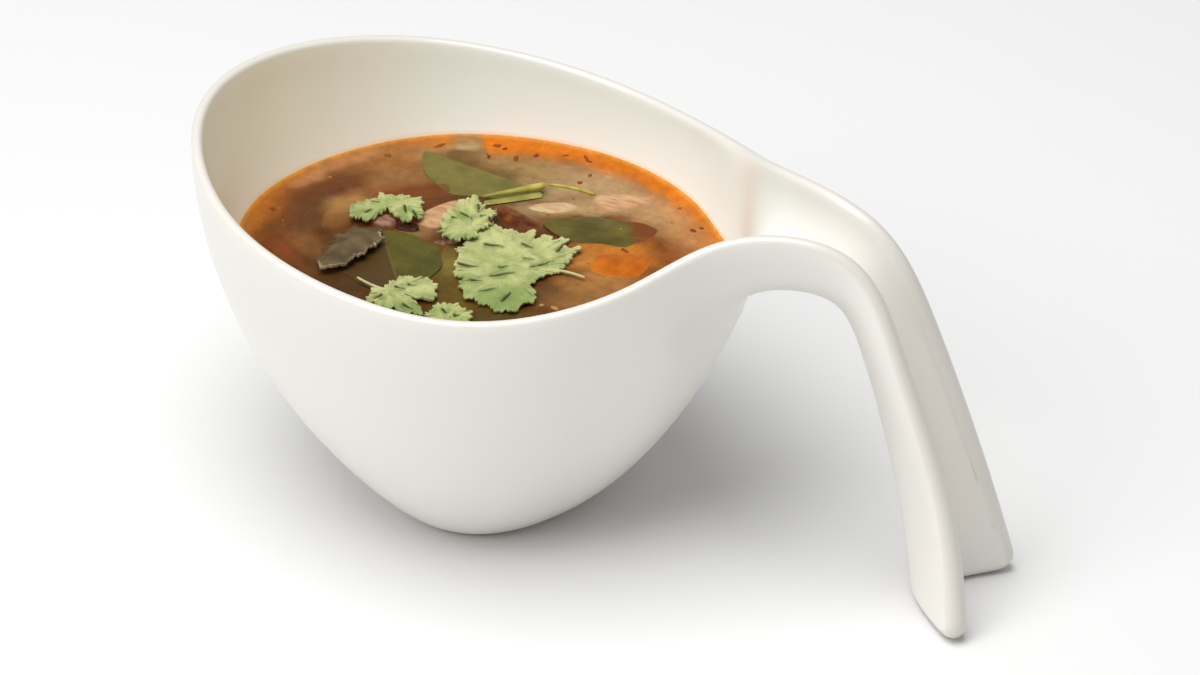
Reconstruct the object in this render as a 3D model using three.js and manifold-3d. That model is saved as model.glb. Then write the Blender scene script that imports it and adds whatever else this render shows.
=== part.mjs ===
// Tom yum soup in a one-piece porcelain cup with a looped handle.
//
// Millimetres, +Z up. The origin is the middle of the cup's foot, on the table.
// +X points to the handle, and the cup is the same on both sides of the XZ plane.
//
// The cup is one curved sheet with thickness: a bowl whose wall runs on through a
// mouth into an open channel, which arches over and comes down to the table. The
// sheet's middle surface is laid out first, then both skins and a round lip.

import * as THREE from 'three';
import { mergeVertices } from 'three/addons/utils/BufferGeometryUtils.js';
import Module from 'manifold-3d';

const wasm = await Module();
wasm.setup();

const DEGREE = Math.PI / 180;

// ---------------------------------------------------------------- dimensions

// The lip, as x, half width and z, from the far end of the bowl to the handle's tip.
const LIP_LINE = [
  [-76.4, 0, 97], [-67.2, 29, 95.3], [-42.4, 52.4, 90.4], [-7.7, 61.4, 85.6],
  [25.4, 55.4, 83.7], [52.6, 36.7, 89.2], [71.5, 18, 97.4], [97.1, 8.9, 94.7],
  [112.1, 9.5, 71.3], [125.5, 10.9, 35.2], [133.3, 16.6, 2.9],
];
const MOUTH_KNOT = 5; // lip point where the bowl becomes the handle
// The middle of the channel, as x and z, level with the lip points from the mouth on.
// The first point lies below the mouth, on the bowl's wall.
const KEEL_LINE = [
  [58.6, 44], [63.4, 62], [71.8, 77.5], [90.9, 80.7], [102.1, 66.8], [112.9, 31], [118.1, 2.9],
];

const FOOT_RADIUS = { x: 22, y: 28 };
const WALL = { foot: 5, lip: 2.9, tip: 6, thinning: 0.7 };
// Inside, the wall at the far end bulges in between foot and lip: how far, how narrowly, how high.
const FAR_BULGE = { depth: 3, focus: 7, height: 2 };
// The bowl's profile is a superellipse from the foot's edge to the lip. Its powers
// change from the handle's side (+ slant) to the far end (- slant).
const PROFILE_POWER = { height: 1.75, heightSlant: -0.33, radius: 1.31, radiusSlant: 0.07 };
const MOUTH_LEAN = 21.6 * DEGREE; // how far short of upright the wall stops at the mouth
const MOUTH_FADE = 1.2; // lip points over which the mouth's round form fades out
const FLARE_POWER = 1.4; // section of the handle's foot: a rounded V

const GRID = { ringSteps: 10, footRings: 2, mouthSteps: 5, rimSteps: 17, handleSteps: 20, lipSteps: 5 };

const SOUP_LEVEL = 65;
const GAP = 0.3; // between touching pieces
const MOUTH_ROWS_IN_SOUP = 4; // handle rows that help to bound the soup
const BLOCK_SIZE = 400;

const LEAF_THICKNESS = 0.6;
const LIME_LEAF = {
  rows: 9, columns: 4, bluntTip: 0.06, widest: 0.9, fullness: 0.75, wave: 0.25, waveLength: 3.3,
};
const CILANTRO_LEAF = {
  waveX: 4.1, waveY: 3.7, wavePhase: 0.6,
};
const STALK_SIDES = 6;
const STALK_STEPS = 6;
const STEM_RADIUS = 0.5;
const OYSTER_CAP = { thickness: 1, innerRing: 0.5, frill: 0.4, frills: 11, wave: 0.24, waveLength: 3 };
// A mushroom slice: its thickness and bevel, then its outline as shares of the cap and stem.
const SLICE = {
  thickness: 6, rounding: 1.2, shoulder: 0.8, cheek: 0.5,
  gillDepth: 0.3, gillPlace: 0.7, neck: 0.6, stemBulge: 0.25,
};
const MORSEL = { sides: 12, rows: 7, lumpsX: 3, lumpsY: 4 };
const CUT_HEIGHT = 5; // how far above the soup a cut reaches

// ------------------------------------------------------------------- helpers

const mix = (a, b, t) => a + (b - a) * t;
const smooth = (t) => t * t * (3 - 2 * t);
const clamp = (t) => Math.min(1, Math.max(0, t));

/** Natural cubic spline through knots at parameters 0, 1, 2 ...; returns a point for any parameter. */
function cubicSpline(knots) {
  const last = knots.length - 1;
  const bend = knots[0].map((_, axis) => {
    const value = knots.map((knot) => knot[axis]);
    const ratio = new Array(last + 1).fill(0);
    const second = new Array(last + 1).fill(0);
    for (let i = 1; i < last; i += 1) {
      const pull = 6 * (value[i + 1] - 2 * value[i] + value[i - 1]);
      const pivot = 4 - ratio[i - 1];
      ratio[i] = 1 / pivot;
      second[i] = (pull - second[i - 1]) / pivot;
    }
    for (let i = last - 1; i > 0; i -= 1) second[i] -= ratio[i] * second[i + 1];
    return second;
  });
  return (parameter) => {
    const i = Math.min(last - 1, Math.max(0, Math.floor(parameter)));
    const b = parameter - i;
    const a = 1 - b;
    return knots[0].map((_, axis) => {
      const curve = (a ** 3 - a) * bend[axis][i] + (b ** 3 - b) * bend[axis][i + 1];
      return a * knots[i][axis] + b * knots[i + 1][axis] + curve / 6;
    });
  };
}

/** A closed geometry from points and faces of three or four corners. */
function faceted(points, faces) {
  const geometry = new THREE.BufferGeometry();
  const triangles = faces.flatMap(([a, b, c, d]) => (d === undefined ? [a, b, c] : [a, b, c, a, c, d]));
  geometry.setAttribute('position', new THREE.Float32BufferAttribute(points.flatMap((p) => p.toArray()), 3));
  geometry.setIndex(triangles);
  return geometry;
}

function toManifold(geometry) {
  const bare = geometry.clone();
  bare.deleteAttribute('normal');
  bare.deleteAttribute('uv');
  const merged = mergeVertices(bare, 1e-4);
  return new wasm.Manifold(new wasm.Mesh({
    numProp: 3,
    vertProperties: new Float32Array(merged.attributes.position.array),
    triVerts: new Uint32Array(merged.index.array),
  }));
}

function toGeometry(solid) {
  const mesh = solid.getMesh();
  const geometry = new THREE.BufferGeometry();
  geometry.setAttribute('position', new THREE.BufferAttribute(mesh.vertProperties, 3));
  geometry.setIndex(new THREE.BufferAttribute(mesh.triVerts, 1));
  return geometry;
}

// --------------------------------------------------------- the cup's surface

const mirroredLip = [LIP_LINE[2], LIP_LINE[1]].map(([x, y, z]) => [x, -y, z]);
const lipSpline = cubicSpline([...mirroredLip, ...LIP_LINE]);
const keelSpline = cubicSpline(KEEL_LINE);
const lipPoint = (knot) => lipSpline(knot + mirroredLip.length);
const keelPoint = (knot) => keelSpline(knot - MOUTH_KNOT + 1);
const LAST_KNOT = LIP_LINE.length - 1;

/** A point of the channel's U-shaped section: across runs from -1 at the near lip to 1 at the far lip. */
function channelPoint(knot, across) {
  const [lipX, lipY, lipZ] = lipPoint(knot);
  const [keelX, keelZ] = keelPoint(knot);
  const side = Math.sin(across * Math.PI / 2);
  const round = 1 - Math.cos(across * Math.PI / 2);
  const flare = smooth(clamp((knot - MOUTH_KNOT - 1) / (LAST_KNOT - MOUTH_KNOT - 1)));
  const rise = mix(round, Math.abs(side) ** FLARE_POWER, flare);
  return new THREE.Vector3(mix(keelX, lipX, rise), lipY * side, mix(keelZ, lipZ, rise));
}

/** The same section at the mouth, laid on the bowl's round wall. */
function mouthPoint(across) {
  const [lipX, lipY] = lipPoint(MOUTH_KNOT);
  const [keelX] = keelPoint(MOUTH_KNOT);
  const azimuth = Math.atan2(lipY, lipX) * Math.sin(across * Math.PI / 2);
  const radius = mix(keelX, Math.hypot(lipX, lipY), Math.abs(across));
  const height = channelPoint(MOUTH_KNOT, across).z;
  return new THREE.Vector3(radius * Math.cos(azimuth), radius * Math.sin(azimuth), height);
}

/** A point of the handle: the mouth's form fades into the channel's within a few rows. */
function handlePoint(knot, across) {
  const fade = 1 - smooth(clamp((knot - MOUTH_KNOT) / MOUTH_FADE));
  const shift = mouthPoint(across).sub(channelPoint(MOUTH_KNOT, across));
  return channelPoint(knot, across).addScaledVector(shift, fade);
}

/** The upper end of each column of the bowl's wall, and how far short of upright it stops. */
function wallEnds() {
  const ends = [];
  for (let j = 0; j <= GRID.mouthSteps; j += 1) {
    const across = j / GRID.mouthSteps;
    ends.push({ top: handlePoint(MOUTH_KNOT, across), short: MOUTH_LEAN * (1 - across ** 2) });
  }
  for (let j = 1; j <= GRID.rimSteps; j += 1) {
    const top = new THREE.Vector3(...lipPoint(MOUTH_KNOT * (1 - j / GRID.rimSteps)));
    ends.push({ top, short: 0 });
  }
  const mirror = ({ top, short }) => ({ top: new THREE.Vector3(top.x, -top.y, top.z), short });
  return [...ends, ...ends.slice(1, -1).reverse().map(mirror)];
}

/** A point of the bowl's wall in one column, for a rise of 0 at the foot's edge to 1 at the top. */
function wallPoint({ top, short }, rise) {
  const azimuth = Math.atan2(top.y, top.x);
  const foot = 1 / Math.hypot(Math.cos(azimuth) / FOOT_RADIUS.x, Math.sin(azimuth) / FOOT_RADIUS.y);
  const base = WALL.foot / 2;
  const end = Math.PI / 2 - short;
  const radiusPower = PROFILE_POWER.radius + PROFILE_POWER.radiusSlant * Math.cos(azimuth);
  const heightPower = PROFILE_POWER.height + PROFILE_POWER.heightSlant * Math.cos(azimuth);
  const outward = (angle) => Math.sin(angle) ** (2 / radiusPower);
  const upward = (angle) => 1 - Math.max(0, Math.cos(angle)) ** (2 / heightPower);
  const radius = foot + (Math.hypot(top.x, top.y) - foot) * outward(rise * end) / outward(end);
  const height = base + (top.z - base) * upward(rise * end) / upward(end);
  return new THREE.Vector3(radius * Math.cos(azimuth), radius * Math.sin(azimuth), height);
}

/** How far the inner skin bulges in from the plain wall, in one column at one rise. */
function farBulge({ top }, rise) {
  const far = 0.5 - 0.5 * Math.cos(Math.atan2(top.y, top.x));
  return FAR_BULGE.depth * far ** FAR_BULGE.focus * Math.sin(Math.PI * rise ** FAR_BULGE.height);
}

/** The middle surface: points with a wall thickness each, faces that look outward, and its rim. */
function cupSheet() {
  const ends = wallEnds();
  const columns = ends.length;
  const points = [new THREE.Vector3(0, 0, WALL.foot / 2)];
  const walls = [WALL.foot];
  const bulges = [0];
  const faces = [];
  const wrap = (column) => (column + columns) % columns;
  const ringIndex = (ring, column) => 1 + (ring - 1) * columns + wrap(column);
  const rings = GRID.footRings + 1 + GRID.ringSteps;
  for (let ring = 1; ring <= rings; ring += 1) {
    const rise = Math.max(0, ring - GRID.footRings - 1) / GRID.ringSteps;
    const spread = Math.min(1, ring / (GRID.footRings + 1));
    for (const end of ends) {
      const point = wallPoint(end, rise);
      points.push(new THREE.Vector3(point.x * spread, point.y * spread, point.z));
      walls.push(mix(WALL.foot, WALL.lip, smooth(rise ** WALL.thinning)));
      bulges.push(farBulge(end, rise));
    }
  }
  for (let column = 0; column < columns; column += 1) {
    faces.push([0, ringIndex(1, column + 1), ringIndex(1, column)]);
    for (let ring = 1; ring < rings; ring += 1) {
      faces.push([ringIndex(ring, column), ringIndex(ring, column + 1),
        ringIndex(ring + 1, column + 1), ringIndex(ring + 1, column)]);
    }
  }
  const width = 2 * GRID.mouthSteps + 1;
  const handleStart = points.length;
  const handleIndex = (row, j) => (row === 0
    ? ringIndex(rings, j - GRID.mouthSteps)
    : handleStart + (row - 1) * width + j);
  for (let row = 1; row <= GRID.handleSteps; row += 1) {
    const along = row / GRID.handleSteps;
    for (let j = 0; j < width; j += 1) {
      points.push(handlePoint(mix(MOUTH_KNOT, LAST_KNOT, along), j / GRID.mouthSteps - 1));
      walls.push(mix(WALL.lip, WALL.tip, smooth(along)));
      bulges.push(0);
    }
  }
  for (let row = 0; row < GRID.handleSteps; row += 1) {
    for (let j = 0; j < width - 1; j += 1) {
      faces.push([handleIndex(row, j), handleIndex(row, j + 1),
        handleIndex(row + 1, j + 1), handleIndex(row + 1, j)]);
    }
  }
  return { points, walls, bulges, faces, columns, rings, width, ringIndex, handleIndex };
}

/** Average direction of the faces round each point. */
function pointNormals(points, faces) {
  const normals = points.map(() => new THREE.Vector3());
  for (const face of faces) {
    const first = points[face[0]];
    const third = points[face[2]];
    const fourth = points[face[face.length - 1]];
    const turn = third.clone().sub(first).cross(fourth.clone().sub(points[face[1]]));
    for (const index of face) normals[index].add(turn);
  }
  return normals.map((normal) => normal.normalize());
}

/** The closed walk along the sheet's edge: across the handle's end, then all round the lip. */
function rimLoop({ width, columns, rings, ringIndex, handleIndex }) {
  const loop = [];
  for (let j = 0; j < width; j += 1) loop.push(handleIndex(GRID.handleSteps, j));
  for (let row = GRID.handleSteps - 1; row > 0; row -= 1) loop.push(handleIndex(row, width - 1));
  for (let column = GRID.mouthSteps; column <= columns - GRID.mouthSteps; column += 1) {
    loop.push(ringIndex(rings, column));
  }
  for (let row = 1; row < GRID.handleSteps; row += 1) loop.push(handleIndex(row, 0));
  return loop;
}

/** The inner skin of the sheet, a gap further in. */
function innerSkin({ points, walls, bulges }, normals, gap) {
  return points.map((point, i) => (
    point.clone().addScaledVector(normals[i], -walls[i] / 2 - bulges[i] - gap)));
}

/** The cup: both skins of the sheet, joined by a round lip; the handle's end is ground flat. */
function cupGeometry(sheet, normals) {
  const { points, walls, faces, width } = sheet;
  const count = points.length;
  const outerSkin = points.map((point, i) => point.clone().addScaledVector(normals[i], walls[i] / 2));
  const solidPoints = [...outerSkin, ...innerSkin(sheet, normals, 0)];
  const innerFaces = faces.map(([first, ...rest]) => (
    [first, ...rest.reverse()].map((index) => index + count)));
  const solidFaces = [...faces, ...innerFaces];
  const loop = rimLoop(sheet);
  const lipRows = [loop];
  for (let step = 1; step < GRID.lipSteps; step += 1) {
    const turn = Math.PI * step / GRID.lipSteps;
    lipRows.push(loop.map((index, k) => {
      const before = points[loop[(k + loop.length - 1) % loop.length]];
      const after = points[loop[(k + 1) % loop.length]];
      const out = normals[index].clone().cross(after.clone().sub(before)).normalize();
      const point = points[index].clone();
      point.addScaledVector(normals[index], Math.cos(turn) * walls[index] / 2);
      point.addScaledVector(out, Math.sin(turn) * walls[index] / 2);
      solidPoints.push(point);
      return solidPoints.length - 1;
    }));
  }
  lipRows.push(loop.map((index) => index + count));
  for (let step = 0; step < GRID.lipSteps; step += 1) {
    loop.forEach((_, k) => {
      const next = (k + 1) % loop.length;
      solidFaces.push([lipRows[step][k], lipRows[step][next], lipRows[step + 1][next], lipRows[step + 1][k]]);
    });
  }
  const groundRows = lipRows.slice(1, -1).map((row) => row.slice(0, width));
  for (const index of groundRows.flat()) solidPoints[index].z = Math.max(0, solidPoints[index].z);
  return faceted(solidPoints, solidFaces);
}

/** Everything inside the cup up to the soup's level, a gap clear of the wall. */
function brothSolid(sheet, normals) {
  const { width, columns, rings, ringIndex, handleIndex } = sheet;
  const inner = innerSkin(sheet, normals, GAP);
  const used = handleIndex(MOUTH_ROWS_IN_SOUP, width - 1) + 1;
  const faces = sheet.faces.filter((face) => face.every((index) => index < used));
  const edge = [];
  for (let j = 0; j < width; j += 1) edge.push(handleIndex(MOUTH_ROWS_IN_SOUP, j));
  for (let row = MOUTH_ROWS_IN_SOUP - 1; row > 0; row -= 1) edge.push(handleIndex(row, width - 1));
  for (let column = GRID.mouthSteps; column <= columns - GRID.mouthSteps; column += 1) {
    edge.push(ringIndex(rings, column));
  }
  for (let row = 1; row < MOUTH_ROWS_IN_SOUP; row += 1) edge.push(handleIndex(row, 0));
  const above = new THREE.Vector3(0, 0, LIP_LINE[0][2] + SOUP_LEVEL);
  const lid = edge.map((index, k) => [index, edge[(k + 1) % edge.length], used]);
  const plug = toManifold(faceted([...inner.slice(0, used), above], [...faces, ...lid]));
  const block = new THREE.BoxGeometry(BLOCK_SIZE, BLOCK_SIZE, BLOCK_SIZE);
  block.translate(0, 0, SOUP_LEVEL - BLOCK_SIZE / 2);
  return plug.intersect(toManifold(block));
}

// ------------------------------------------------------------ garnish shapes
// Each shape is made in its own frame, with z = 0 at the soup's level. A grown copy,
// wider by the gap and open upward, is what the soup is cut with.

/** Gives a flat pattern two faces, split into triangles alike, and a side wall round its edge. */
function thicken({ points, faces, edge }, lower, upper) {
  const count = points.length;
  const bottom = points.map(([x, y]) => new THREE.Vector3(x, y, lower(x, y)));
  const top = points.map(([x, y]) => new THREE.Vector3(x, y, upper(x, y)));
  const walls = edge.map((index, k) => {
    const next = edge[(k + 1) % edge.length];
    return [index, next, next + count, index + count];
  });
  const topFaces = faces.map((face) => face.map((index) => index + count));
  const bottomFaces = faces.map(([first, ...rest]) => [first, ...rest.reverse()]);
  return faceted([...bottom, ...top], [...topFaces, ...bottomFaces, ...walls]);
}

/** A pointed oval, along x, as rows of points across it. */
function ovalPattern(length, halfWidth, { rows, columns }) {
  const points = [];
  const faces = [];
  const index = (row, column) => row * (columns + 1) + column;
  for (let row = 0; row <= rows; row += 1) {
    const along = row / rows;
    const bulge = Math.sin(Math.PI * along ** LIME_LEAF.widest) ** LIME_LEAF.fullness;
    const width = halfWidth * Math.max(LIME_LEAF.bluntTip, bulge);
    for (let column = 0; column <= columns; column += 1) {
      points.push([(along - 0.5) * length, width * (2 * column / columns - 1)]);
    }
  }
  for (let row = 0; row < rows; row += 1) {
    for (let column = 0; column < columns; column += 1) {
      faces.push([index(row, column), index(row + 1, column),
        index(row + 1, column + 1), index(row, column + 1)]);
    }
  }
  const edge = [];
  for (let row = 0; row < rows; row += 1) edge.push(index(row, 0));
  for (let column = 0; column < columns; column += 1) edge.push(index(rows, column));
  for (let row = rows; row > 0; row -= 1) edge.push(index(row, columns));
  for (let column = columns; column > 0; column -= 1) edge.push(index(0, column));
  return { points, faces, edge };
}

/** A pattern of rings round a middle point, out to reach(angle). */
function radialPattern(reach, steps, ringShares) {
  const points = [[0, 0]];
  const faces = [];
  const index = (ring, step) => 1 + ring * steps + ((step + steps) % steps);
  for (const share of ringShares) {
    for (let step = 0; step < steps; step += 1) {
      const angle = 2 * Math.PI * step / steps;
      points.push([share * reach(angle) * Math.cos(angle), share * reach(angle) * Math.sin(angle)]);
    }
  }
  for (let step = 0; step < steps; step += 1) {
    faces.push([0, index(0, step), index(0, step + 1)]);
    for (let ring = 1; ring < ringShares.length; ring += 1) {
      faces.push([index(ring - 1, step), index(ring, step),
        index(ring, step + 1), index(ring - 1, step + 1)]);
    }
  }
  const edge = Array.from({ length: steps }, (_, step) => index(ringShares.length - 1, step));
  return { points, faces, edge };
}

/** How far a cilantro leaf reaches in each direction, straight between its outline's points. */
function cilantroReach(outline) {
  return (angle) => {
    const heading = (angle / DEGREE + 360) % 360;
    const later = outline.findIndex(([direction]) => direction > heading);
    const next = Math.max(later, 0);
    const [start, from] = outline[(next + outline.length - 1) % outline.length];
    const [end, to] = outline[next];
    const share = ((heading - start + 360) % 360) / ((end - start + 360) % 360);
    return mix(from, to, share);
  };
}

/** A cilantro leaf with its stem, floating clear of the soup. */
function cilantro({ outline, ringShares, steps, stem, lift, sway }) {
  const { waveX, waveY, wavePhase } = CILANTRO_LEAF;
  const middle = (x, y) => lift + sway * Math.sin(x / waveX + wavePhase) * Math.cos(y / waveY);
  const pattern = radialPattern(cilantroReach(outline), steps, ringShares);
  const leaf = toManifold(thicken(
    pattern,
    (x, y) => middle(x, y) - LEAF_THICKNESS / 2,
    (x, y) => middle(x, y) + LEAF_THICKNESS / 2,
  ));
  const path = new THREE.QuadraticBezierCurve3(
    new THREE.Vector3(0, 0, middle(0, 0)),
    new THREE.Vector3(stem.bend[0], stem.bend[1], lift),
    new THREE.Vector3(stem.end[0], stem.end[1], lift),
  );
  return toGeometry(leaf.add(toManifold(stalkGeometry(path, STEM_RADIUS))));
}

/** A round stalk along a path. */
function stalkGeometry(path, radius) {
  const section = new THREE.Shape();
  for (let side = 0; side < STALK_SIDES; side += 1) {
    const angle = 2 * Math.PI * side / STALK_SIDES;
    const point = [radius * Math.cos(angle), radius * Math.sin(angle)];
    if (side === 0) section.moveTo(...point);
    else section.lineTo(...point);
  }
  return new THREE.ExtrudeGeometry(section, { steps: STALK_STEPS, extrudePath: path });
}

/** A smooth leaf with a creased midrib along x, which rolls and dips into the soup. */
function limeLeaf({ length, halfWidth, lift, roll, pitch, curl }, grow = 0) {
  const middle = (x, y) => {
    const side = y / halfWidth;
    const wave = LIME_LEAF.wave * Math.sin(x / LIME_LEAF.waveLength);
    return lift + roll * side + pitch * x / length + (wave - curl) * side ** 2;
  };
  const pattern = ovalPattern(length + 2 * grow, halfWidth + grow, LIME_LEAF);
  const lower = (x, y) => middle(x, y) - LEAF_THICKNESS / 2 - grow;
  const upper = grow > 0 ? () => CUT_HEIGHT : (x, y) => middle(x, y) + LEAF_THICKNESS / 2;
  return thicken(pattern, lower, upper);
}

/** A thin frilled cap of an oyster mushroom, floating over what lies in the soup. */
function oysterCap({ reaches, lift, steps }) {
  const reach = (angle) => {
    const place = (angle / (2 * Math.PI)) * reaches.length;
    const first = Math.floor(place) % reaches.length;
    const next = (first + 1) % reaches.length;
    const frill = OYSTER_CAP.frill * Math.sin(OYSTER_CAP.frills * angle);
    return mix(reaches[first], reaches[next], smooth(place % 1)) + frill;
  };
  const middle = (x, y) => lift + OYSTER_CAP.wave * Math.sin((x + y) / OYSTER_CAP.waveLength);
  return thicken(
    radialPattern(reach, steps, [OYSTER_CAP.innerRing, 1]),
    (x, y) => middle(x, y) - OYSTER_CAP.thickness / 2,
    (x, y) => middle(x, y) + OYSTER_CAP.thickness / 2,
  );
}

/** A slice through a mushroom, lying flat: the cap bulges to -x and the stem points to +x. */
function mushroomSlice({ capWidth, capDepth, stemWidth, stemLength, top }, grow = 0) {
  const half = capWidth / 2;
  const shoulder = -capDepth * SLICE.shoulder;
  const cheek = half * SLICE.cheek;
  const gill = [capDepth * SLICE.gillDepth, half * SLICE.gillPlace];
  const neck = stemWidth * SLICE.neck;
  const stemEnd = stemLength + stemWidth * SLICE.stemBulge;
  const shape = new THREE.Shape();
  shape.moveTo(0, half);
  shape.bezierCurveTo(shoulder, half, -capDepth, cheek, -capDepth, 0);
  shape.bezierCurveTo(-capDepth, -cheek, shoulder, -half, 0, -half);
  shape.quadraticCurveTo(gill[0], -gill[1], 0, -neck);
  shape.lineTo(stemLength, -stemWidth / 2);
  shape.quadraticCurveTo(stemEnd, 0, stemLength, stemWidth / 2);
  shape.lineTo(0, neck);
  shape.quadraticCurveTo(gill[0], gill[1], 0, half);
  const depth = SLICE.thickness - 2 * SLICE.rounding;
  const geometry = new THREE.ExtrudeGeometry(shape, {
    depth: grow > 0 ? depth + grow + CUT_HEIGHT : depth,
    curveSegments: 4,
    bevelThickness: SLICE.rounding,
    bevelSize: SLICE.rounding + grow,
    bevelOffset: -SLICE.rounding,
    bevelSegments: 1,
  });
  return geometry.translate(0, 0, top - SLICE.thickness + SLICE.rounding - grow);
}

/** A lumpy rounded piece, half sunk. */
function morsel({ size, top, lump, phase }, grow = 0) {
  const geometry = new THREE.SphereGeometry(1, MORSEL.sides, MORSEL.rows).rotateX(Math.PI / 2);
  const place = geometry.attributes.position;
  const [length, width, height] = size;
  for (let i = 0; i < place.count; i += 1) {
    const [x, y, z] = [place.getX(i), place.getY(i), place.getZ(i)];
    const swell = 1 + lump * Math.sin(MORSEL.lumpsX * x + phase) * Math.cos(MORSEL.lumpsY * y + 2 * phase);
    place.setXYZ(
      i,
      x * swell * (length / 2 + grow),
      y * swell * (width / 2 + grow),
      top - height / 2 + z * swell * (height / 2 + grow),
    );
  }
  return geometry;
}

// ------------------------------------------------------------ garnish pieces
// Each piece lies at a place on the soup (x, y) and is turned about the vertical.

const CILANTRO = 0x9dbb6a;
const LEAF = 0x5c6424;
const MUSHROOM = 0xb98f63;
const CHILLI = 0x55180f;
const SHALLOT = 0xc98f7c;
const TOMATO = 0xcf6a22;
const OYSTER = 0x6b5c4a;
const STALK_GREEN = 0xc2c56a;
const PORCELAIN = 0xf1efe9;
const BROTH = 0xa8622a;
const ROUGHNESS = { glaze: 0.15, broth: 0.1, wet: 0.4, leaf: 0.5 };

// A cilantro leaf's outline is a direction in degrees and a reach, all the way round.
const FLOATING = [
  {
    name: 'cilantro_center', at: [6.1, -4.4], color: CILANTRO, make: cilantro,
    size: {
      outline: [[3, 9.5], [26, 13.2], [43, 16.3], [54, 20.4], [62, 18.4], [66, 16.4], [70, 20.6], [76, 17.4],
        [81, 18.4], [91, 15.9], [96, 18.7], [112, 17.7], [124, 20.2], [132, 21.3], [140, 20.2], [150, 17.6],
        [162, 16.5], [175, 15], [183, 13], [194, 14.1], [202, 12.2], [213, 13.8], [221, 12.6], [232, 12.2],
        [241, 14.3], [257, 16.9], [278, 17.1], [289, 19.4], [300, 19.9], [312, 16.6], [321, 16.7],
        [325, 13.5], [331, 9.6], [344, 8.7]],
      ringShares: [0.55, 1], steps: 108, stem: { bend: [12, 6.5], end: [19.1, 4.4] }, lift: 1.1, sway: 0.4,
    },
  },
  {
    name: 'cilantro_upper', at: [-11.9, 9.1], color: CILANTRO, make: cilantro,
    size: {
      outline: [[5, 5.7], [43, 6.3], [68, 8.7], [83, 8.7], [96, 9.4], [107, 12.4], [114, 10.8], [126, 11],
        [138, 8.5], [162, 7.2], [192, 6.5], [223, 6.8], [241, 8.3], [252, 9.4], [271, 9.1], [287, 8.3],
        [309, 7], [330, 4.7], [350, 5.1]],
      ringShares: [1], steps: 60, stem: { bend: [3, -2.5], end: [5.3, -5] }, lift: 2.6, sway: 0.25,
    },
  },
  {
    name: 'cilantro_left', at: [-35.8, 9.7], color: CILANTRO, make: cilantro,
    size: {
      outline: [[25, 9.2], [36, 8.3], [44, 6.4], [66, 4.6], [101, 3.6], [145, 3.4], [192, 4.3], [205, 6.6],
        [222, 8.9], [238, 11.1], [248, 10.9], [260, 10.3], [270, 9.3], [279, 6.2], [285, 3.8], [303, 3],
        [312, 4.4], [320, 8.4], [327, 11], [341, 10.7], [346, 11.4], [357, 10.4]],
      ringShares: [1], steps: 60, stem: { bend: [5, 2.5], end: [9, 4] }, lift: 2, sway: 0.3,
    },
  },
  {
    name: 'cilantro_lower_left', at: [-15.4, -27.1], color: CILANTRO, make: cilantro,
    size: {
      outline: [[3, 9.5], [9, 11.4], [28, 11.6], [46, 11.7], [58, 11.2], [72, 9], [89, 7.8], [99, 5.3],
        [109, 3.3], [163, 2.8], [176, 3.8], [212, 4.2], [245, 6.5], [279, 6.7], [308, 8.5], [324, 11.5],
        [336, 13], [343, 11.2], [347, 6.5], [357, 4]],
      ringShares: [1], steps: 60, stem: { bend: [-5, 0.2], end: [-10.2, 2.3] }, lift: 1.6, sway: 0.3,
    },
  },
  {
    name: 'cilantro_front', at: [2.1, -28.3], color: CILANTRO, make: cilantro,
    size: {
      outline: [[20, 4.9], [47, 3.9], [75, 2.8], [104, 3.4], [124, 4.2], [158, 3.8], [187, 4.6], [221, 6],
        [245, 8], [270, 8.5], [300, 8], [330, 7], [359, 6.1]],
      ringShares: [1], steps: 44, stem: { bend: [2, -9], end: [6, -13] }, lift: 1.1, sway: 0.3,
    },
  },
  {
    name: 'oyster_mushroom', at: [-34.9, -12.4], color: OYSTER, make: oysterCap,
    size: { reaches: [6.3, 9, 12.5, 8.5, 5.8, 7, 12.8, 7], lift: 2, steps: 36 },
  },
];

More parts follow.
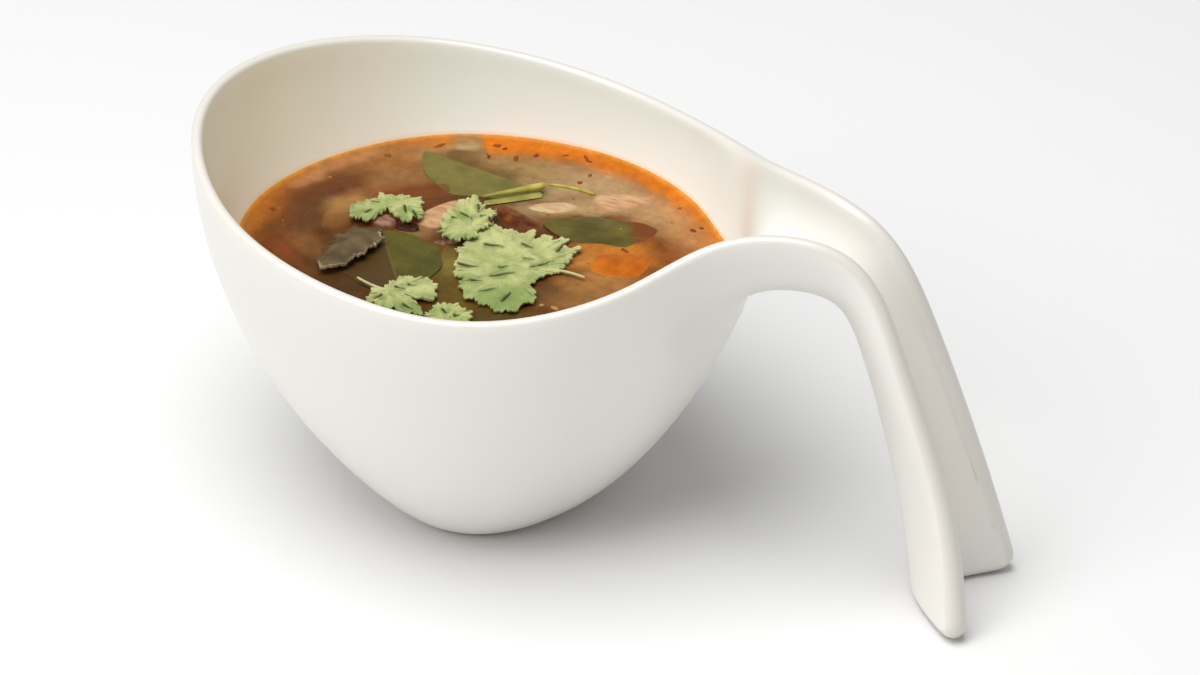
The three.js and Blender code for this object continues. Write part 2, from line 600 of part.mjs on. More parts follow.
const HALF_SUNK = [
  {
    name: 'lime_leaf_back', at: [-20.5, 38.5], turn: -9, color: LEAF, make: limeLeaf,
    size: { length: 41, halfWidth: 15, lift: -0.3, roll: -0.6, pitch: 0, curl: 0.4 },
  },
  {
    name: 'lime_leaf_front', at: [-22.2, -13], turn: -53, color: LEAF, make: limeLeaf,
    size: { length: 31, halfWidth: 13, lift: 0.1, roll: 0.15, pitch: 0, curl: 0.3 },
  },
  {
    name: 'lime_leaf_right', at: [22.8, 23.2], turn: 12, color: LEAF, make: limeLeaf,
    size: { length: 38, halfWidth: 7, lift: 0, roll: 0.2, pitch: -1.2, curl: 0.2 },
  },
  {
    name: 'mushroom_left', at: [-45, 8.5], turn: -5, color: MUSHROOM, make: mushroomSlice,
    size: { capWidth: 38, capDepth: 11, stemWidth: 11, stemLength: 7.2, top: 0.5 },
  },
  {
    name: 'mushroom_center', at: [-21.7, 14], turn: 75, color: MUSHROOM, make: morsel,
    size: { size: [16.5, 8, 4.5], top: 0.8, lump: 0.08, phase: 1.1 },
  },
  {
    name: 'mushroom_strip_near', at: [2.8, 28.3], turn: 28, color: MUSHROOM, make: morsel,
    size: { size: [13.5, 5.6, 3.4], top: 0.9, lump: 0.05, phase: 0.4 },
  },
  {
    name: 'mushroom_strip_far', at: [16.6, 38.2], turn: 35, color: MUSHROOM, make: morsel,
    size: { size: [16.5, 8, 3.6], top: 0.8, lump: 0.08, phase: 2.2 },
  },
  {
    name: 'chilli_center', at: [-3.6, 19.2], turn: -20, color: CHILLI, make: morsel,
    size: { size: [14.5, 6.6, 4.4], top: 1, lump: 0.1, phase: 0.9 },
  },
  {
    name: 'chilli_left', at: [-26.9, 3.6], turn: 10, color: CHILLI, make: morsel,
    size: { size: [7, 4.8, 4], top: 0.9, lump: 0.1, phase: 1.7 },
  },
  {
    name: 'shallot_left', at: [-33.2, 4.2], turn: 20, color: SHALLOT, make: morsel,
    size: { size: [5.6, 4.2, 3], top: 0.9, lump: 0.08, phase: 0.3 },
  },
  {
    name: 'shallot_center', at: [-14.6, 2], turn: 15, color: SHALLOT, make: morsel,
    size: { size: [5, 3.2, 3], top: 0.7, lump: 0.08, phase: 2.9 },
  },
  {
    name: 'tomato_piece', at: [28.2, 10.4], turn: 15, color: TOMATO, make: morsel,
    size: { size: [19.5, 14, 5], top: 1.2, lump: 0.07, phase: 0.7 },
  },
];

const STALK = {
  start: new THREE.Vector3(-14.8, 23.3, 1.6),
  bend: new THREE.Vector3(-8.7, 29, 1.8),
  end: new THREE.Vector3(-2.8, 34.7, 1.9),
  radius: 0.9,
};

// ------------------------------------------------------------------ assembly

const group = new THREE.Group();

function addMesh(name, geometry, color, roughness) {
  const material = new THREE.MeshStandardMaterial({ color, roughness, metalness: 0 });
  const mesh = new THREE.Mesh(geometry, material);
  mesh.name = name;
  group.add(mesh);
  return mesh;
}

function layOnSoup(mesh, { at, turn = 0 }) {
  mesh.position.set(at[0], at[1], SOUP_LEVEL);
  mesh.rotation.set(0, 0, turn * DEGREE);
  mesh.updateMatrix();
  return mesh;
}

const sheet = cupSheet();
const sheetNormals = pointNormals(sheet.points, sheet.faces);
let broth = brothSolid(sheet, sheetNormals);

for (const piece of HALF_SUNK) {
  const mesh = layOnSoup(addMesh(piece.name, piece.make(piece.size), piece.color, ROUGHNESS.wet), piece);
  broth = broth.subtract(toManifold(piece.make(piece.size, GAP).applyMatrix4(mesh.matrix)));
}
for (const piece of FLOATING) {
  layOnSoup(addMesh(piece.name, piece.make(piece.size), piece.color, ROUGHNESS.leaf), piece);
}
const stalkPath = new THREE.QuadraticBezierCurve3(STALK.start, STALK.bend, STALK.end);
const stalk = addMesh('leaf_stalk', stalkGeometry(stalkPath, STALK.radius), STALK_GREEN, ROUGHNESS.wet);
layOnSoup(stalk, { at: [0, 0] });

addMesh('cup', cupGeometry(sheet, sheetNormals), PORCELAIN, ROUGHNESS.glaze);
addMesh('soup', toGeometry(broth), BROTH, ROUGHNESS.broth);

export default group;
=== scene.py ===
"""Looks for a porcelain handled cup of tom yum soup with leaves, mushrooms and chilli.

Lengths are in millimetres until a mesh is made. +X points to the handle, +Z up.
"""

import math

import bpy
import numpy as np
from mathutils import Matrix, Vector


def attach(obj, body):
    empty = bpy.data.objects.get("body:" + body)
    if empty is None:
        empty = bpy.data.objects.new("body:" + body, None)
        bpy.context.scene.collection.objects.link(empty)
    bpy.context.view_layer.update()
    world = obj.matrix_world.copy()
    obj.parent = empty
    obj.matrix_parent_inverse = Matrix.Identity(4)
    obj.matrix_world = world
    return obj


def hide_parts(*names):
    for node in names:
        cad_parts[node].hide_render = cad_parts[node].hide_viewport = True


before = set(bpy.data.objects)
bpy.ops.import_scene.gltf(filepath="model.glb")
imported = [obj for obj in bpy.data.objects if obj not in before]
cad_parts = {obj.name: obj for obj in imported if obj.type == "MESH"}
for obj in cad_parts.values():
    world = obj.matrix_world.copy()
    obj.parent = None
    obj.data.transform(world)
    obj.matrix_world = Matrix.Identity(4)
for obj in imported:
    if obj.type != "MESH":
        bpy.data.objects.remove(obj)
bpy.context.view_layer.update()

MM = 0.001
DEGREE = math.pi / 180
SOUP_LEVEL = 65.0


# ------------------------------------------------------------------ the cup's form

# Knots of the rim's +Y side: from the far end round the bowl, through the mouth, to the handle's tip.
LIP_LINE = np.array([
    [-76.4, 0, 97], [-67.2, 29, 95.3], [-42.4, 52.4, 90.4], [-7.7, 61.4, 85.6],
    [25.4, 55.4, 83.7], [52.6, 36.7, 89.2], [71.5, 18, 97.4], [97.1, 8.9, 94.7],
    [112.1, 9.5, 71.3], [125.5, 10.9, 35.2], [133.3, 16.6, 2.9],
])
# The bottom of the handle's channel, x and z, at the same knots from one before the mouth on.
KEEL_LINE = np.array([
    [58.6, 44], [63.4, 62], [71.8, 77.5], [90.9, 80.7], [102.1, 66.8], [112.9, 31], [118.1, 2.9],
])
MOUTH_KNOT = 5
LAST_KNOT = len(LIP_LINE) - 1
FOOT_RADIUS = (22, 28)
# The wall's thickness at the foot, the lip and the handle's tip, and how soon it thins on its way up.
WALL_FOOT, WALL_LIP, WALL_TIP, WALL_THINNING = 5, 2.9, 6, 0.7
# The inner skin's bulge at the far end, which puts the soup's edge where the photograph shows it.
BULGE_DEPTH, BULGE_FOCUS, BULGE_HEIGHT = 3, 7, 2
# Powers of the wall's rounded profile, and how they change round the bowl.
HEIGHT_POWER, HEIGHT_SLANT, RADIUS_POWER, RADIUS_SLANT = 1.75, -0.33, 1.31, 0.07
# How far short of upright the wall ends under the channel, and over how many knots the two part.
MOUTH_LEAN, MOUTH_FADE = 21.6 * DEGREE, 1.2
# How wide the channel's section opens at its end, and how far the tip's edges are drawn back.
FLARE_POWER, TIP_ROUNDING = 1.4, 0.07
# Where along x the bowl's inside ends, and where the painted light and shade of the inside has faded away,
# over what width.
BOWL_END, HANDLE_START, HANDLE_FADE = 85, 84, 24
# The easing of the crease where the channel leaves the wall: width, lower end, fade, last x, pull, rounds.
EASE_WIDTH, EASE_FOOT, EASE_FADE, EASE_END, EASE_PULL, EASE_STEPS = 9, 8, 15, 82, 0.7, 40
# How many steps each stretch of the cup's sheet is cut into.
RING_STEPS, FOOT_RINGS, MOUTH_STEPS, RIM_STEPS, HANDLE_STEPS, LIP_STEPS = 40, 5, 14, 52, 84, 10


def mix(a, b, t):
    return a + (b - a) * t


def smooth(t):
    return t * t * (3 - 2 * t)


def clamp(t):
    return np.clip(t, 0, 1)


def circle(count):
    """The angles of one whole turn in equal steps."""
    return np.linspace(0, 2 * math.pi, count, endpoint=False)


def unit(vectors):
    return vectors / np.linalg.norm(vectors, axis=1, keepdims=True)


def cubic_spline(knots):
    """Natural cubic spline through knots at parameters 0, 1, 2 ...; returns a point for any parameter."""
    count = len(knots)
    system = np.eye(count)
    pull = np.zeros_like(knots, dtype=float)
    for i in range(1, count - 1):
        system[i, i - 1:i + 2] = (1, 4, 1)
        pull[i] = 6 * (knots[i + 1] - 2 * knots[i] + knots[i - 1])
    bend = np.linalg.solve(system, pull)

    def point(parameter):
        i = min(count - 2, max(0, math.floor(parameter)))
        b = parameter - i
        a = 1 - b
        curve = (a ** 3 - a) * bend[i] + (b ** 3 - b) * bend[i + 1]
        return a * knots[i] + b * knots[i + 1] + curve / 6

    return point


MIRRORED_LIP = LIP_LINE[2:0:-1] * (1, -1, 1)
LIP_SPLINE = cubic_spline(np.concatenate([MIRRORED_LIP, LIP_LINE]))
KEEL_SPLINE = cubic_spline(KEEL_LINE)


def lip_point(knot):
    return LIP_SPLINE(knot + len(MIRRORED_LIP))


def channel_point(knot, across):
    """A point of the channel's U-shaped section: across runs from -1 at the near lip to 1 at the far lip."""
    lip_x, lip_y, lip_z = lip_point(knot)
    keel_x, keel_z = KEEL_SPLINE(knot - MOUTH_KNOT + 1)
    side = math.sin(across * math.pi / 2)
    round_rise = 1 - math.cos(across * math.pi / 2)
    flare = smooth(clamp((knot - MOUTH_KNOT - 1) / (LAST_KNOT - MOUTH_KNOT - 1)))
    rise = mix(round_rise, abs(side) ** FLARE_POWER, flare)
    return np.array([mix(keel_x, lip_x, rise), lip_y * side, mix(keel_z, lip_z, rise)])


def mouth_point(across):
    """The same section at the mouth, laid on the bowl's round wall."""
    lip_x, lip_y, _ = lip_point(MOUTH_KNOT)
    keel_x, _ = KEEL_SPLINE(1)
    azimuth = math.atan2(lip_y, lip_x) * math.sin(across * math.pi / 2)
    radius = mix(keel_x, math.hypot(lip_x, lip_y), abs(across))
    height = channel_point(MOUTH_KNOT, across)[2]
    return np.array([radius * math.cos(azimuth), radius * math.sin(azimuth), height])


def handle_point(knot, across):
    """A point of the channel, drawn over onto the bowl's wall at the mouth."""
    fade = 1 - smooth(clamp((knot - MOUTH_KNOT) / MOUTH_FADE))
    shift = mouth_point(across) - channel_point(MOUTH_KNOT, across)
    return channel_point(knot, across) + shift * fade


def wall_ends():
    """The upper end of each column of the bowl's wall, and how far short of upright it stops."""
    ends = []
    for j in range(MOUTH_STEPS + 1):
        across = j / MOUTH_STEPS
        ends.append((handle_point(MOUTH_KNOT, across), MOUTH_LEAN * (1 - across ** 2)))
    for j in range(1, RIM_STEPS + 1):
        ends.append((lip_point(MOUTH_KNOT * (1 - j / RIM_STEPS)), 0))
    near_side = [(top * (1, -1, 1), short) for top, short in ends[-2:0:-1]]
    return ends + near_side


def wall_point(top, short, rise):
    """A point of the bowl's wall in one column, for a rise of 0 at the foot's edge to 1 at the top."""
    azimuth = math.atan2(top[1], top[0])
    foot = 1 / math.hypot(math.cos(azimuth) / FOOT_RADIUS[0], math.sin(azimuth) / FOOT_RADIUS[1])
    base = WALL_FOOT / 2
    end = math.pi / 2 - short
    radius_power = RADIUS_POWER + RADIUS_SLANT * math.cos(azimuth)
    height_power = HEIGHT_POWER + HEIGHT_SLANT * math.cos(azimuth)

    def outward(angle):
        return math.sin(angle) ** (2 / radius_power)

    def upward(angle):
        return 1 - max(0, math.cos(angle)) ** (2 / height_power)

    radius = foot + (math.hypot(top[0], top[1]) - foot) * outward(rise * end) / outward(end)
    height = base + (top[2] - base) * upward(rise * end) / upward(end)
    return np.array([radius * math.cos(azimuth), radius * math.sin(azimuth), height])


def far_bulge(top, rise):
    """How far the inner skin bulges in from the plain wall, in one column at one rise."""
    far = 0.5 - 0.5 * math.cos(math.atan2(top[1], top[0]))
    return BULGE_DEPTH * far ** BULGE_FOCUS * math.sin(math.pi * rise ** BULGE_HEIGHT)


def cup_sheet():
    """The cup's middle surface.

    Returns its points, how far each skin lies out and in from them, its faces, its rim as a loop of
    points, and how many points the channel is wide.
    """
    ends = wall_ends()
    columns = len(ends)
    rings = FOOT_RINGS + 1 + RING_STEPS
    width = 2 * MOUTH_STEPS + 1
    points = [np.array([0, 0, WALL_FOOT / 2])]
    walls = [WALL_FOOT]
    bulges = [0]
    faces = []

    def ring_index(ring, column):
        return 1 + (ring - 1) * columns + column % columns

    def handle_index(row, j):
        if row == 0:
            return ring_index(rings, j - MOUTH_STEPS)
        return 1 + rings * columns + (row - 1) * width + j

    def quad(index, row, column):
        return (index(row, column), index(row, column + 1),
                index(row + 1, column + 1), index(row + 1, column))

    for ring in range(1, rings + 1):
        rise = max(0, ring - FOOT_RINGS - 1) / RING_STEPS
        spread = min(1, ring / (FOOT_RINGS + 1))
        for top, short in ends:
            points.append(wall_point(top, short, rise) * (spread, spread, 1))
            walls.append(mix(WALL_FOOT, WALL_LIP, smooth(rise ** WALL_THINNING)))
            bulges.append(far_bulge(top, rise))
    for column in range(columns):
        faces.append((0, ring_index(1, column + 1), ring_index(1, column)))
        faces += [quad(ring_index, ring, column) for ring in range(1, rings)]
    for row in range(1, HANDLE_STEPS + 1):
        along = row / HANDLE_STEPS
        for j in range(width):
            across = j / MOUTH_STEPS - 1
            knot = mix(MOUTH_KNOT, LAST_KNOT - TIP_ROUNDING * abs(across) ** 8, along)
            points.append(handle_point(knot, across))
            walls.append(mix(WALL_LIP, WALL_TIP, smooth(along)))
            bulges.append(0)
    for row in range(HANDLE_STEPS):
        faces += [quad(handle_index, row, j) for j in range(width - 1)]
    loop = [handle_index(HANDLE_STEPS, j) for j in range(width)]
    loop += [handle_index(row, width - 1) for row in range(HANDLE_STEPS - 1, 0, -1)]
    loop += [ring_index(rings, column) for column in range(MOUTH_STEPS, columns - MOUTH_STEPS + 1)]
    loop += [handle_index(row, 0) for row in range(1, HANDLE_STEPS)]
    outward = np.array(walls) / 2
    return np.array(points), outward, outward + bulges, faces, loop, width


def point_normals(points, faces):
    normals = np.zeros_like(points)
    for face in faces:
        a, b, c, d = points[face[0]], points[face[1]], points[face[2]], points[face[-1]]
        turn = np.cross(c - a, d - b)
        for index in face:
            normals[index] += turn
    return unit(normals)


def eased(points, faces, loop):
    """The sheet with its crease eased where the channel leaves the bowl's wall; the rim stays put."""
    edges = np.array([pair for face in faces for pair in zip(face, face[1:] + face[:1])])
    neighbours = np.bincount(edges.ravel(), minlength=len(points))[:, None]
    ease = np.zeros(len(points))
    for side in (-1, 1):
        corner = handle_point(MOUTH_KNOT, side)
        across = np.arctan2(points[:, 1], points[:, 0]) - math.atan2(corner[1], corner[0])
        beside = np.hypot(points[:, 0], points[:, 1]) * across
        ease = np.maximum(ease, np.exp(-(beside / EASE_WIDTH) ** 2))
    ease *= smooth(clamp((points[:, 2] - EASE_FOOT) / EASE_FADE)) * (points[:, 0] < EASE_END)
    ease[loop] = 0

    def gathered(end, other):
        """At each point, the sum of the points that its edges lead to from this end."""
        ends, others = edges[:, end], edges[:, other]
        return np.stack([np.bincount(ends, points[others, k], len(points)) for k in range(3)], 1)

    for _ in range(EASE_STEPS):
        middle = (gathered(0, 1) + gathered(1, 0)) / neighbours
        points = points + EASE_PULL * ease[:, None] * (middle - points)
    return points


SHEET_POINTS, SHEET_OUTWARD, SHEET_INWARD, SHEET_FACES, SHEET_LOOP, CHANNEL_WIDTH = cup_sheet()
SHEET_POINTS = eased(SHEET_POINTS, SHEET_FACES, SHEET_LOOP)
SHEET_NORMALS = point_normals(SHEET_POINTS, SHEET_FACES)
INNER_SKIN = SHEET_POINTS - SHEET_NORMALS * SHEET_INWARD[:, None]


def cup_solid():
    """Both skins of the sheet, joined by a round lip; the handle's end is ground flat.

    Returns points, faces and two fields: how far a point is inside, and how far on the lip.
    """
    count = len(SHEET_POINTS)
    outer = SHEET_POINTS + SHEET_NORMALS * SHEET_OUTWARD[:, None]
    faces = list(SHEET_FACES)
    faces += [tuple(index + count for index in face[::-1]) for face in SHEET_FACES]
    loop = np.array(SHEET_LOOP)
    normals = SHEET_NORMALS[loop]
    ahead = SHEET_POINTS[np.roll(loop, -1)] - SHEET_POINTS[np.roll(loop, 1)]
    out = unit(np.cross(normals, ahead))
    half = SHEET_OUTWARD[loop][:, None]
    rows = [loop]
    extra = []
    for step in range(1, LIP_STEPS):
        turn = math.pi * step / LIP_STEPS
        row = SHEET_POINTS[loop] + normals * half * math.cos(turn) + out * half * math.sin(turn)
        row[:CHANNEL_WIDTH, 2] = np.maximum(0, row[:CHANNEL_WIDTH, 2])
        extra.append(row)
        rows.append(2 * count + (step - 1) * len(loop) + np.arange(len(loop)))
    rows.append(loop + count)
    for low, high in zip(rows, rows[1:]):
        faces += list(zip(low, np.roll(low, -1), np.roll(high, -1), high))
    points = np.concatenate([outer, INNER_SKIN, *extra])
    turned = np.repeat(np.arange(1, LIP_STEPS) / LIP_STEPS, len(loop))
    inside = np.concatenate([np.zeros(count), np.ones(count), turned])
    lip = np.concatenate([np.zeros(2 * count), np.sin(math.pi * turned) ** 0.5])
    shown = smooth(clamp((HANDLE_START - points[:, 0]) / HANDLE_FADE))
    return points, faces, {"inside": inside * shown, "lip": lip}


# ------------------------------------------------------------------ meshes and nodes

def add_piece(name, points, faces, material, replaces=(), fields=None, sharp=60):
    """A smooth mesh from points in millimetres; fields are values per point that its material reads."""
    mesh = bpy.data.meshes.new(name)
    mesh.from_pydata((np.asarray(points) * MM).tolist(), [], [[int(i) for i in face] for face in faces])
    for field, values in (fields or {}).items():
        values = np.asarray(values, np.float32)
        if values.ndim == 2:
            layer = mesh.attributes.new(field, "FLOAT_COLOR", "POINT")
            colour = np.ones((len(values), 4), np.float32)
            colour[:, :3] = values
            layer.data.foreach_set("color", colour.ravel())
        else:
            mesh.attributes.new(field, "FLOAT", "POINT").data.foreach_set("value", values)
    mesh.shade_smooth()
    mesh.set_sharp_from_angle(angle=sharp * DEGREE)
    mesh.materials.append(material)
    piece = bpy.data.objects.new(name, mesh)
    bpy.context.scene.collection.objects.link(piece)
    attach(piece, "root")
    if replaces:
        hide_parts(*replaces)


def linear(red, green, blue):
    """A screen colour of 0 to 255 as linear values."""
    values = np.array([red, green, blue]) / 255
    return tuple(np.where(values <= 0.04045, values / 12.92, ((values + 0.055) / 1.055) ** 2.4))


SOUP_LIGHT = 0.79


def wet(red, green, blue):
    """What gives a thing in the soup this screen colour, in the light that falls into the bowl."""
    return tuple(SOUP_LIGHT * value for value in linear(red, green, blue))


class Look:
    """A material and short words for its nodes. A socket's value is a number, a colour or an output."""

    def __init__(self, name):
        self.material = bpy.data.materials.new(name)
        self.material.use_nodes = True
        self.tree = self.material.node_tree
        self.shader = self.tree.nodes["Principled BSDF"]

    def put(self, socket, value):
        if isinstance(value, bpy.types.NodeSocket):
            self.tree.links.new(value, socket)
        elif isinstance(value, tuple) and len(value) == 3 and len(socket.default_value) == 4:
            socket.default_value = (*value, 1)
        else:
            socket.default_value = value

    def node(self, kind, out=0, settings=None, **inputs):
        made = self.tree.nodes.new(kind)
        for key, value in (settings or {}).items():
            setattr(made, key, value)
        for key, value in inputs.items():
            self.put(made.inputs[int(key[1:]) if key[1:].isdigit() else key.replace("_", " ")], value)
        return made.outputs[out]

    def set(self, **inputs):
        for key, value in inputs.items():
            self.put(self.shader.inputs[key.replace("_", " ")], value)

    def place(self):
        return self.node("ShaderNodeTexCoord", "Object")

    def axis(self, index):
        """The place along x, y or z, in metres."""
        return self.node("ShaderNodeSeparateXYZ", index, Vector=self.place())

    def noise(self, scale, detail, roughness=0.5, stretch=None):
        vector = self.place()
        if stretch:
            vector = self.node("ShaderNodeMapping", Vector=vector, Scale=stretch)
        return self.node("ShaderNodeTexNoise", "Fac", Vector=vector, Scale=scale, Detail=detail,
                         Roughness=roughness)

    def field(self, name, kind="Fac"):
        return self.node("ShaderNodeAttribute", kind, settings={"attribute_name": name})

    def ramp(self, value, low, high, start=0.0, end=1.0):
        """A value brought from low..high to start..end."""
        return self.node("ShaderNodeMapRange", 0, {"interpolation_type": "SMOOTHSTEP"},
                         Value=value, From_Min=low, From_Max=high, To_Min=start, To_Max=end)

    def above_soup(self, low, high, start=0.0, end=1.0):
        """A ramp over heights in millimetres above the soup."""
        return self.ramp(self.axis(2), (SOUP_LEVEL + low) * MM, (SOUP_LEVEL + high) * MM, start, end)

    def plus(self, a, b):
        return self.node("ShaderNodeMath", 0, {"operation": "ADD"}, i0=a, i1=b)

    def times(self, a, b):
        return self.node("ShaderNodeMath", 0, {"operation": "MULTIPLY"}, i0=a, i1=b)

    def blend(self, share, a, b, kind="MIX"):
        made = self.tree.nodes.new("ShaderNodeMix")
        made.data_type = "RGBA"
        made.blend_type = kind
        self.put(made.inputs[0], share)
        self.put(made.inputs[6], a)
        self.put(made.inputs[7], b)
        return made.outputs[2]

    def mottle(self, scale, detail, dark, pale):
        """Two colours in soft patches."""
        return self.blend(self.ramp(self.noise(scale, detail), 0.3, 0.7), dark, pale)

    def tint(self, base, colour, field, low, high, most=1.0):
        """A colour over another where a field of the mesh calls for it."""
        return self.blend(self.ramp(self.field(field), low, high, 0, most), base, colour)

    def bump(self, height, strength, distance):
        return self.node("ShaderNodeBump", Height=height, Strength=strength, Distance=distance * MM)


# ------------------------------------------------------------------ materials

def porcelain():
    """White glaze with painted light: the inside brighter, painted shade and orange bounce light inside at
    the far end, a painted orange glow just above the soup, and painted shade on the lip.
    """
    look = Look("porcelain")
    outside = look.blend(look.noise(14, 2), linear(238, 235, 229), linear(235, 231, 223))
    # Painted light inside: brighter than the outside, with painted shade and orange bounce light towards the
    # far end.
    far_shade_ramp = look.ramp(look.axis(0), -0.08, -0.025)
    inside = look.blend(far_shade_ramp, linear(244, 236, 212), linear(249, 254, 248))
    # Painted orange glow of bounce light on the wall just above the soup.
    inside = look.blend(look.above_soup(0.2, 2.2, 0.75, 0), inside, linear(246, 196, 118))
    tone = look.blend(look.field("inside"), outside, inside)
    # Painted shade: the lip a darker grey.
    tone = look.blend(look.field("lip"), tone, linear(217, 213, 204))
    speck = look.times(look.ramp(look.noise(1100, 1), 0.8, 0.84), 0.1)
    look.set(Base_Color=look.blend(speck, tone, linear(205, 192, 170)), Coat_Weight=0.3, Coat_Roughness=0.15,
             Roughness=look.ramp(look.noise(9, 2), -0.5, 1.5, 0.24, 0.36))
    return look.material


def cilantro():
    look = Look("cilantro_leaf")
    sunny = look.plus(look.ramp(look.noise(150, 3), 0.3, 0.7, -0.3, 0.3), look.field("sun"))
    tone = look.blend(look.ramp(sunny, 0.1, 0.9), wet(150, 168, 98), wet(202, 204, 136))
    tone = look.blend(look.ramp(look.noise(560, 3, 0.6), 0.42, 0.7, 0, 0.35), tone, wet(118, 138, 72))
    tone = look.tint(tone, wet(112, 132, 66), "shade", 0, 1, 0.6)
    tone = look.tint(tone, wet(200, 204, 140), "vein", 0.3, 1, 0.4)
    # Painted highlights along the back edge and beside the slits, and painted shade in the slits.
    tone = look.tint(tone, wet(214, 204, 160), "rim", 0.1, 0.8, 0.8)
    tone = look.tint(tone, wet(62, 66, 24), "slit_shade", 0.1, 0.8, 0.95)
    grain = look.plus(look.noise(480, 3, 0.6), look.times(look.noise(1300, 2), 0.4))
    look.set(Base_Color=tone, Roughness=0.62, Normal=look.bump(grain, 0.55, 0.5), Specular_IOR_Level=0.2,
             Subsurface_Weight=0.1, Subsurface_Radius=(0.8, 1.0, 0.3), Subsurface_Scale=0.0006)
    return look.material


def lime_leaf(name, pale, dark, stain, veined=0.4):
    look = Look(name)
    tone = look.tint(look.mottle(160, 4, dark, pale), stain, "stain", 0.2, 0.8)
    tone = look.tint(tone, wet(128, 108, 48), "vein", 0.2, 1, veined)
    height = look.plus(look.field("vein"), look.times(look.noise(900, 2), 0.4))
    look.set(Base_Color=tone, Roughness=look.ramp(look.noise(300, 2), 0.3, 0.7, 0.35, 0.5),
             Normal=look.bump(height, 0.4, 0.2), Specular_IOR_Level=0.18)
    return look.material


def flesh(name, pale, dark, scale, roughness=0.4, gloss=0.25, stretch=None, wetted=(140, 96, 54)):
    """Flesh or skin in soft patches, which the soup tints where it is under or near the surface."""
    look = Look(name)
    fine = look.noise(scale * 4, 3, 0.6, stretch)
    tone = look.blend(look.ramp(look.noise(scale, 4, 0.6, stretch), 0.32, 0.68), dark, pale)
    tone = look.blend(look.above_soup(0, 0.5, 0.65, 1), wet(*wetted), tone)
    look.set(Base_Color=look.blend(look.ramp(fine, 0.55, 0.75, 0, 0.5), tone, dark), Roughness=roughness,
             Normal=look.bump(fine, 0.4, 0.3), Specular_IOR_Level=gloss)
    return look.material


def stalk_look():
    """Yellow-green, and duller where the shade field is 1."""
    look = Look("leaf_edge")
    green = look.mottle(300, 3, wet(168, 156, 60), wet(204, 192, 92))
    band = look.mottle(250, 3, wet(144, 142, 66), wet(172, 166, 86))
    look.set(Base_Color=look.blend(look.field("shade"), green, band), Roughness=0.5,
             Normal=look.bump(look.noise(700, 2), 0.3, 0.25), Specular_IOR_Level=0.2)
    return look.material


def edged_cap():
    """Grey-brown with a pale edge, and browner down in the soup."""
    look = Look("oyster_cap")
    base = look.mottle(240, 4, wet(82, 66, 42), wet(114, 96, 64))
    base = look.blend(look.above_soup(0, 1.8), wet(92, 62, 40), base)
    look.set(Base_Color=look.tint(base, wet(184, 166, 132), "edge", 0.25, 0.9), Roughness=0.5,
             Normal=look.bump(look.noise(500, 3), 0.3, 0.3), Specular_IOR_Level=0.2)
    return look.material


def broth():
    """A clear, coloured liquid with clouds in its top layer, and a glossy surface."""
    look = Look("broth")
    look.tree.nodes.remove(look.shader)
    output = look.tree.nodes["Material Output"]
    white = (1.0, 1.0, 1.0)
    wisps = look.ramp(look.noise(150, 4, 0.6), 0.25, 0.75, -0.12, 0.12)
    share = look.node("ShaderNodeClamp", Value=look.plus(look.field("haze"), wisps), Min=0.04, Max=0.96)
    streaks = look.ramp(look.noise(420, 3, 0.6), 0.3, 0.7, 0.88, 1.1)
    grey = look.node("ShaderNodeCombineColor", Red=streaks, Green=streaks, Blue=streaks)
    cloud = look.blend(1.0, look.field("cloud", "Color"), grey, "MULTIPLY")
    clear = look.node("ShaderNodeBsdfTransparent", Color=white)
    cloudy = look.node("ShaderNodeBsdfDiffuse", Color=cloud, Roughness=0.3)
    body = look.node("ShaderNodeMixShader", Fac=share, i1=clear, i2=cloudy)
    ripples = look.bump(look.noise(120, 2), 0.12, 0.5)
    shine = look.node("ShaderNodeBsdfGlossy", Color=white, Roughness=0.06, Normal=ripples)
    rim = look.times(look.node("ShaderNodeFresnel", IOR=1.36, Normal=ripples), 0.3)
    look.put(output.inputs["Surface"], look.node("ShaderNodeMixShader", Fac=rim, i1=body, i2=shine))
    depth = look.node("ShaderNodeVolumeAbsorption", Color=(0.985, 0.68, 0.05), Density=150.0)
    look.put(output.inputs["Volume"], depth)
    return look.material


def floor_look():
    look = Look("floor")
    tone = look.blend(look.noise(6, 2), (0.77, 0.77, 0.768), (0.79, 0.79, 0.788))
    look.set(Base_Color=tone, Roughness=0.7)
    return look.material


# ------------------------------------------------------------------ the soup

AZIMUTHS = 320
ANGLES = np.linspace(-math.pi, math.pi, AZIMUTHS, endpoint=False)
COS, SIN = np.cos(ANGLES), np.sin(ANGLES)


def inner_outline(level):
    """The inner wall's distance from the middle in each direction, at one height."""
    found = []
    for face in SHEET_FACES:
        for i, j in zip(face, face[1:] + face[:1]):
            low, high = INNER_SKIN[i], INNER_SKIN[j]
            if (low[2] - level) * (high[2] - level) < 0:
                place = mix(low, high, (level - low[2]) / (high[2] - low[2]))
                if place[0] < BOWL_END:
                    found.append((math.atan2(place[1], place[0]), math.hypot(place[0], place[1])))
    found = np.array(sorted(set(found)))
    return np.interp(ANGLES, found[:, 0], found[:, 1], period=2 * math.pi)


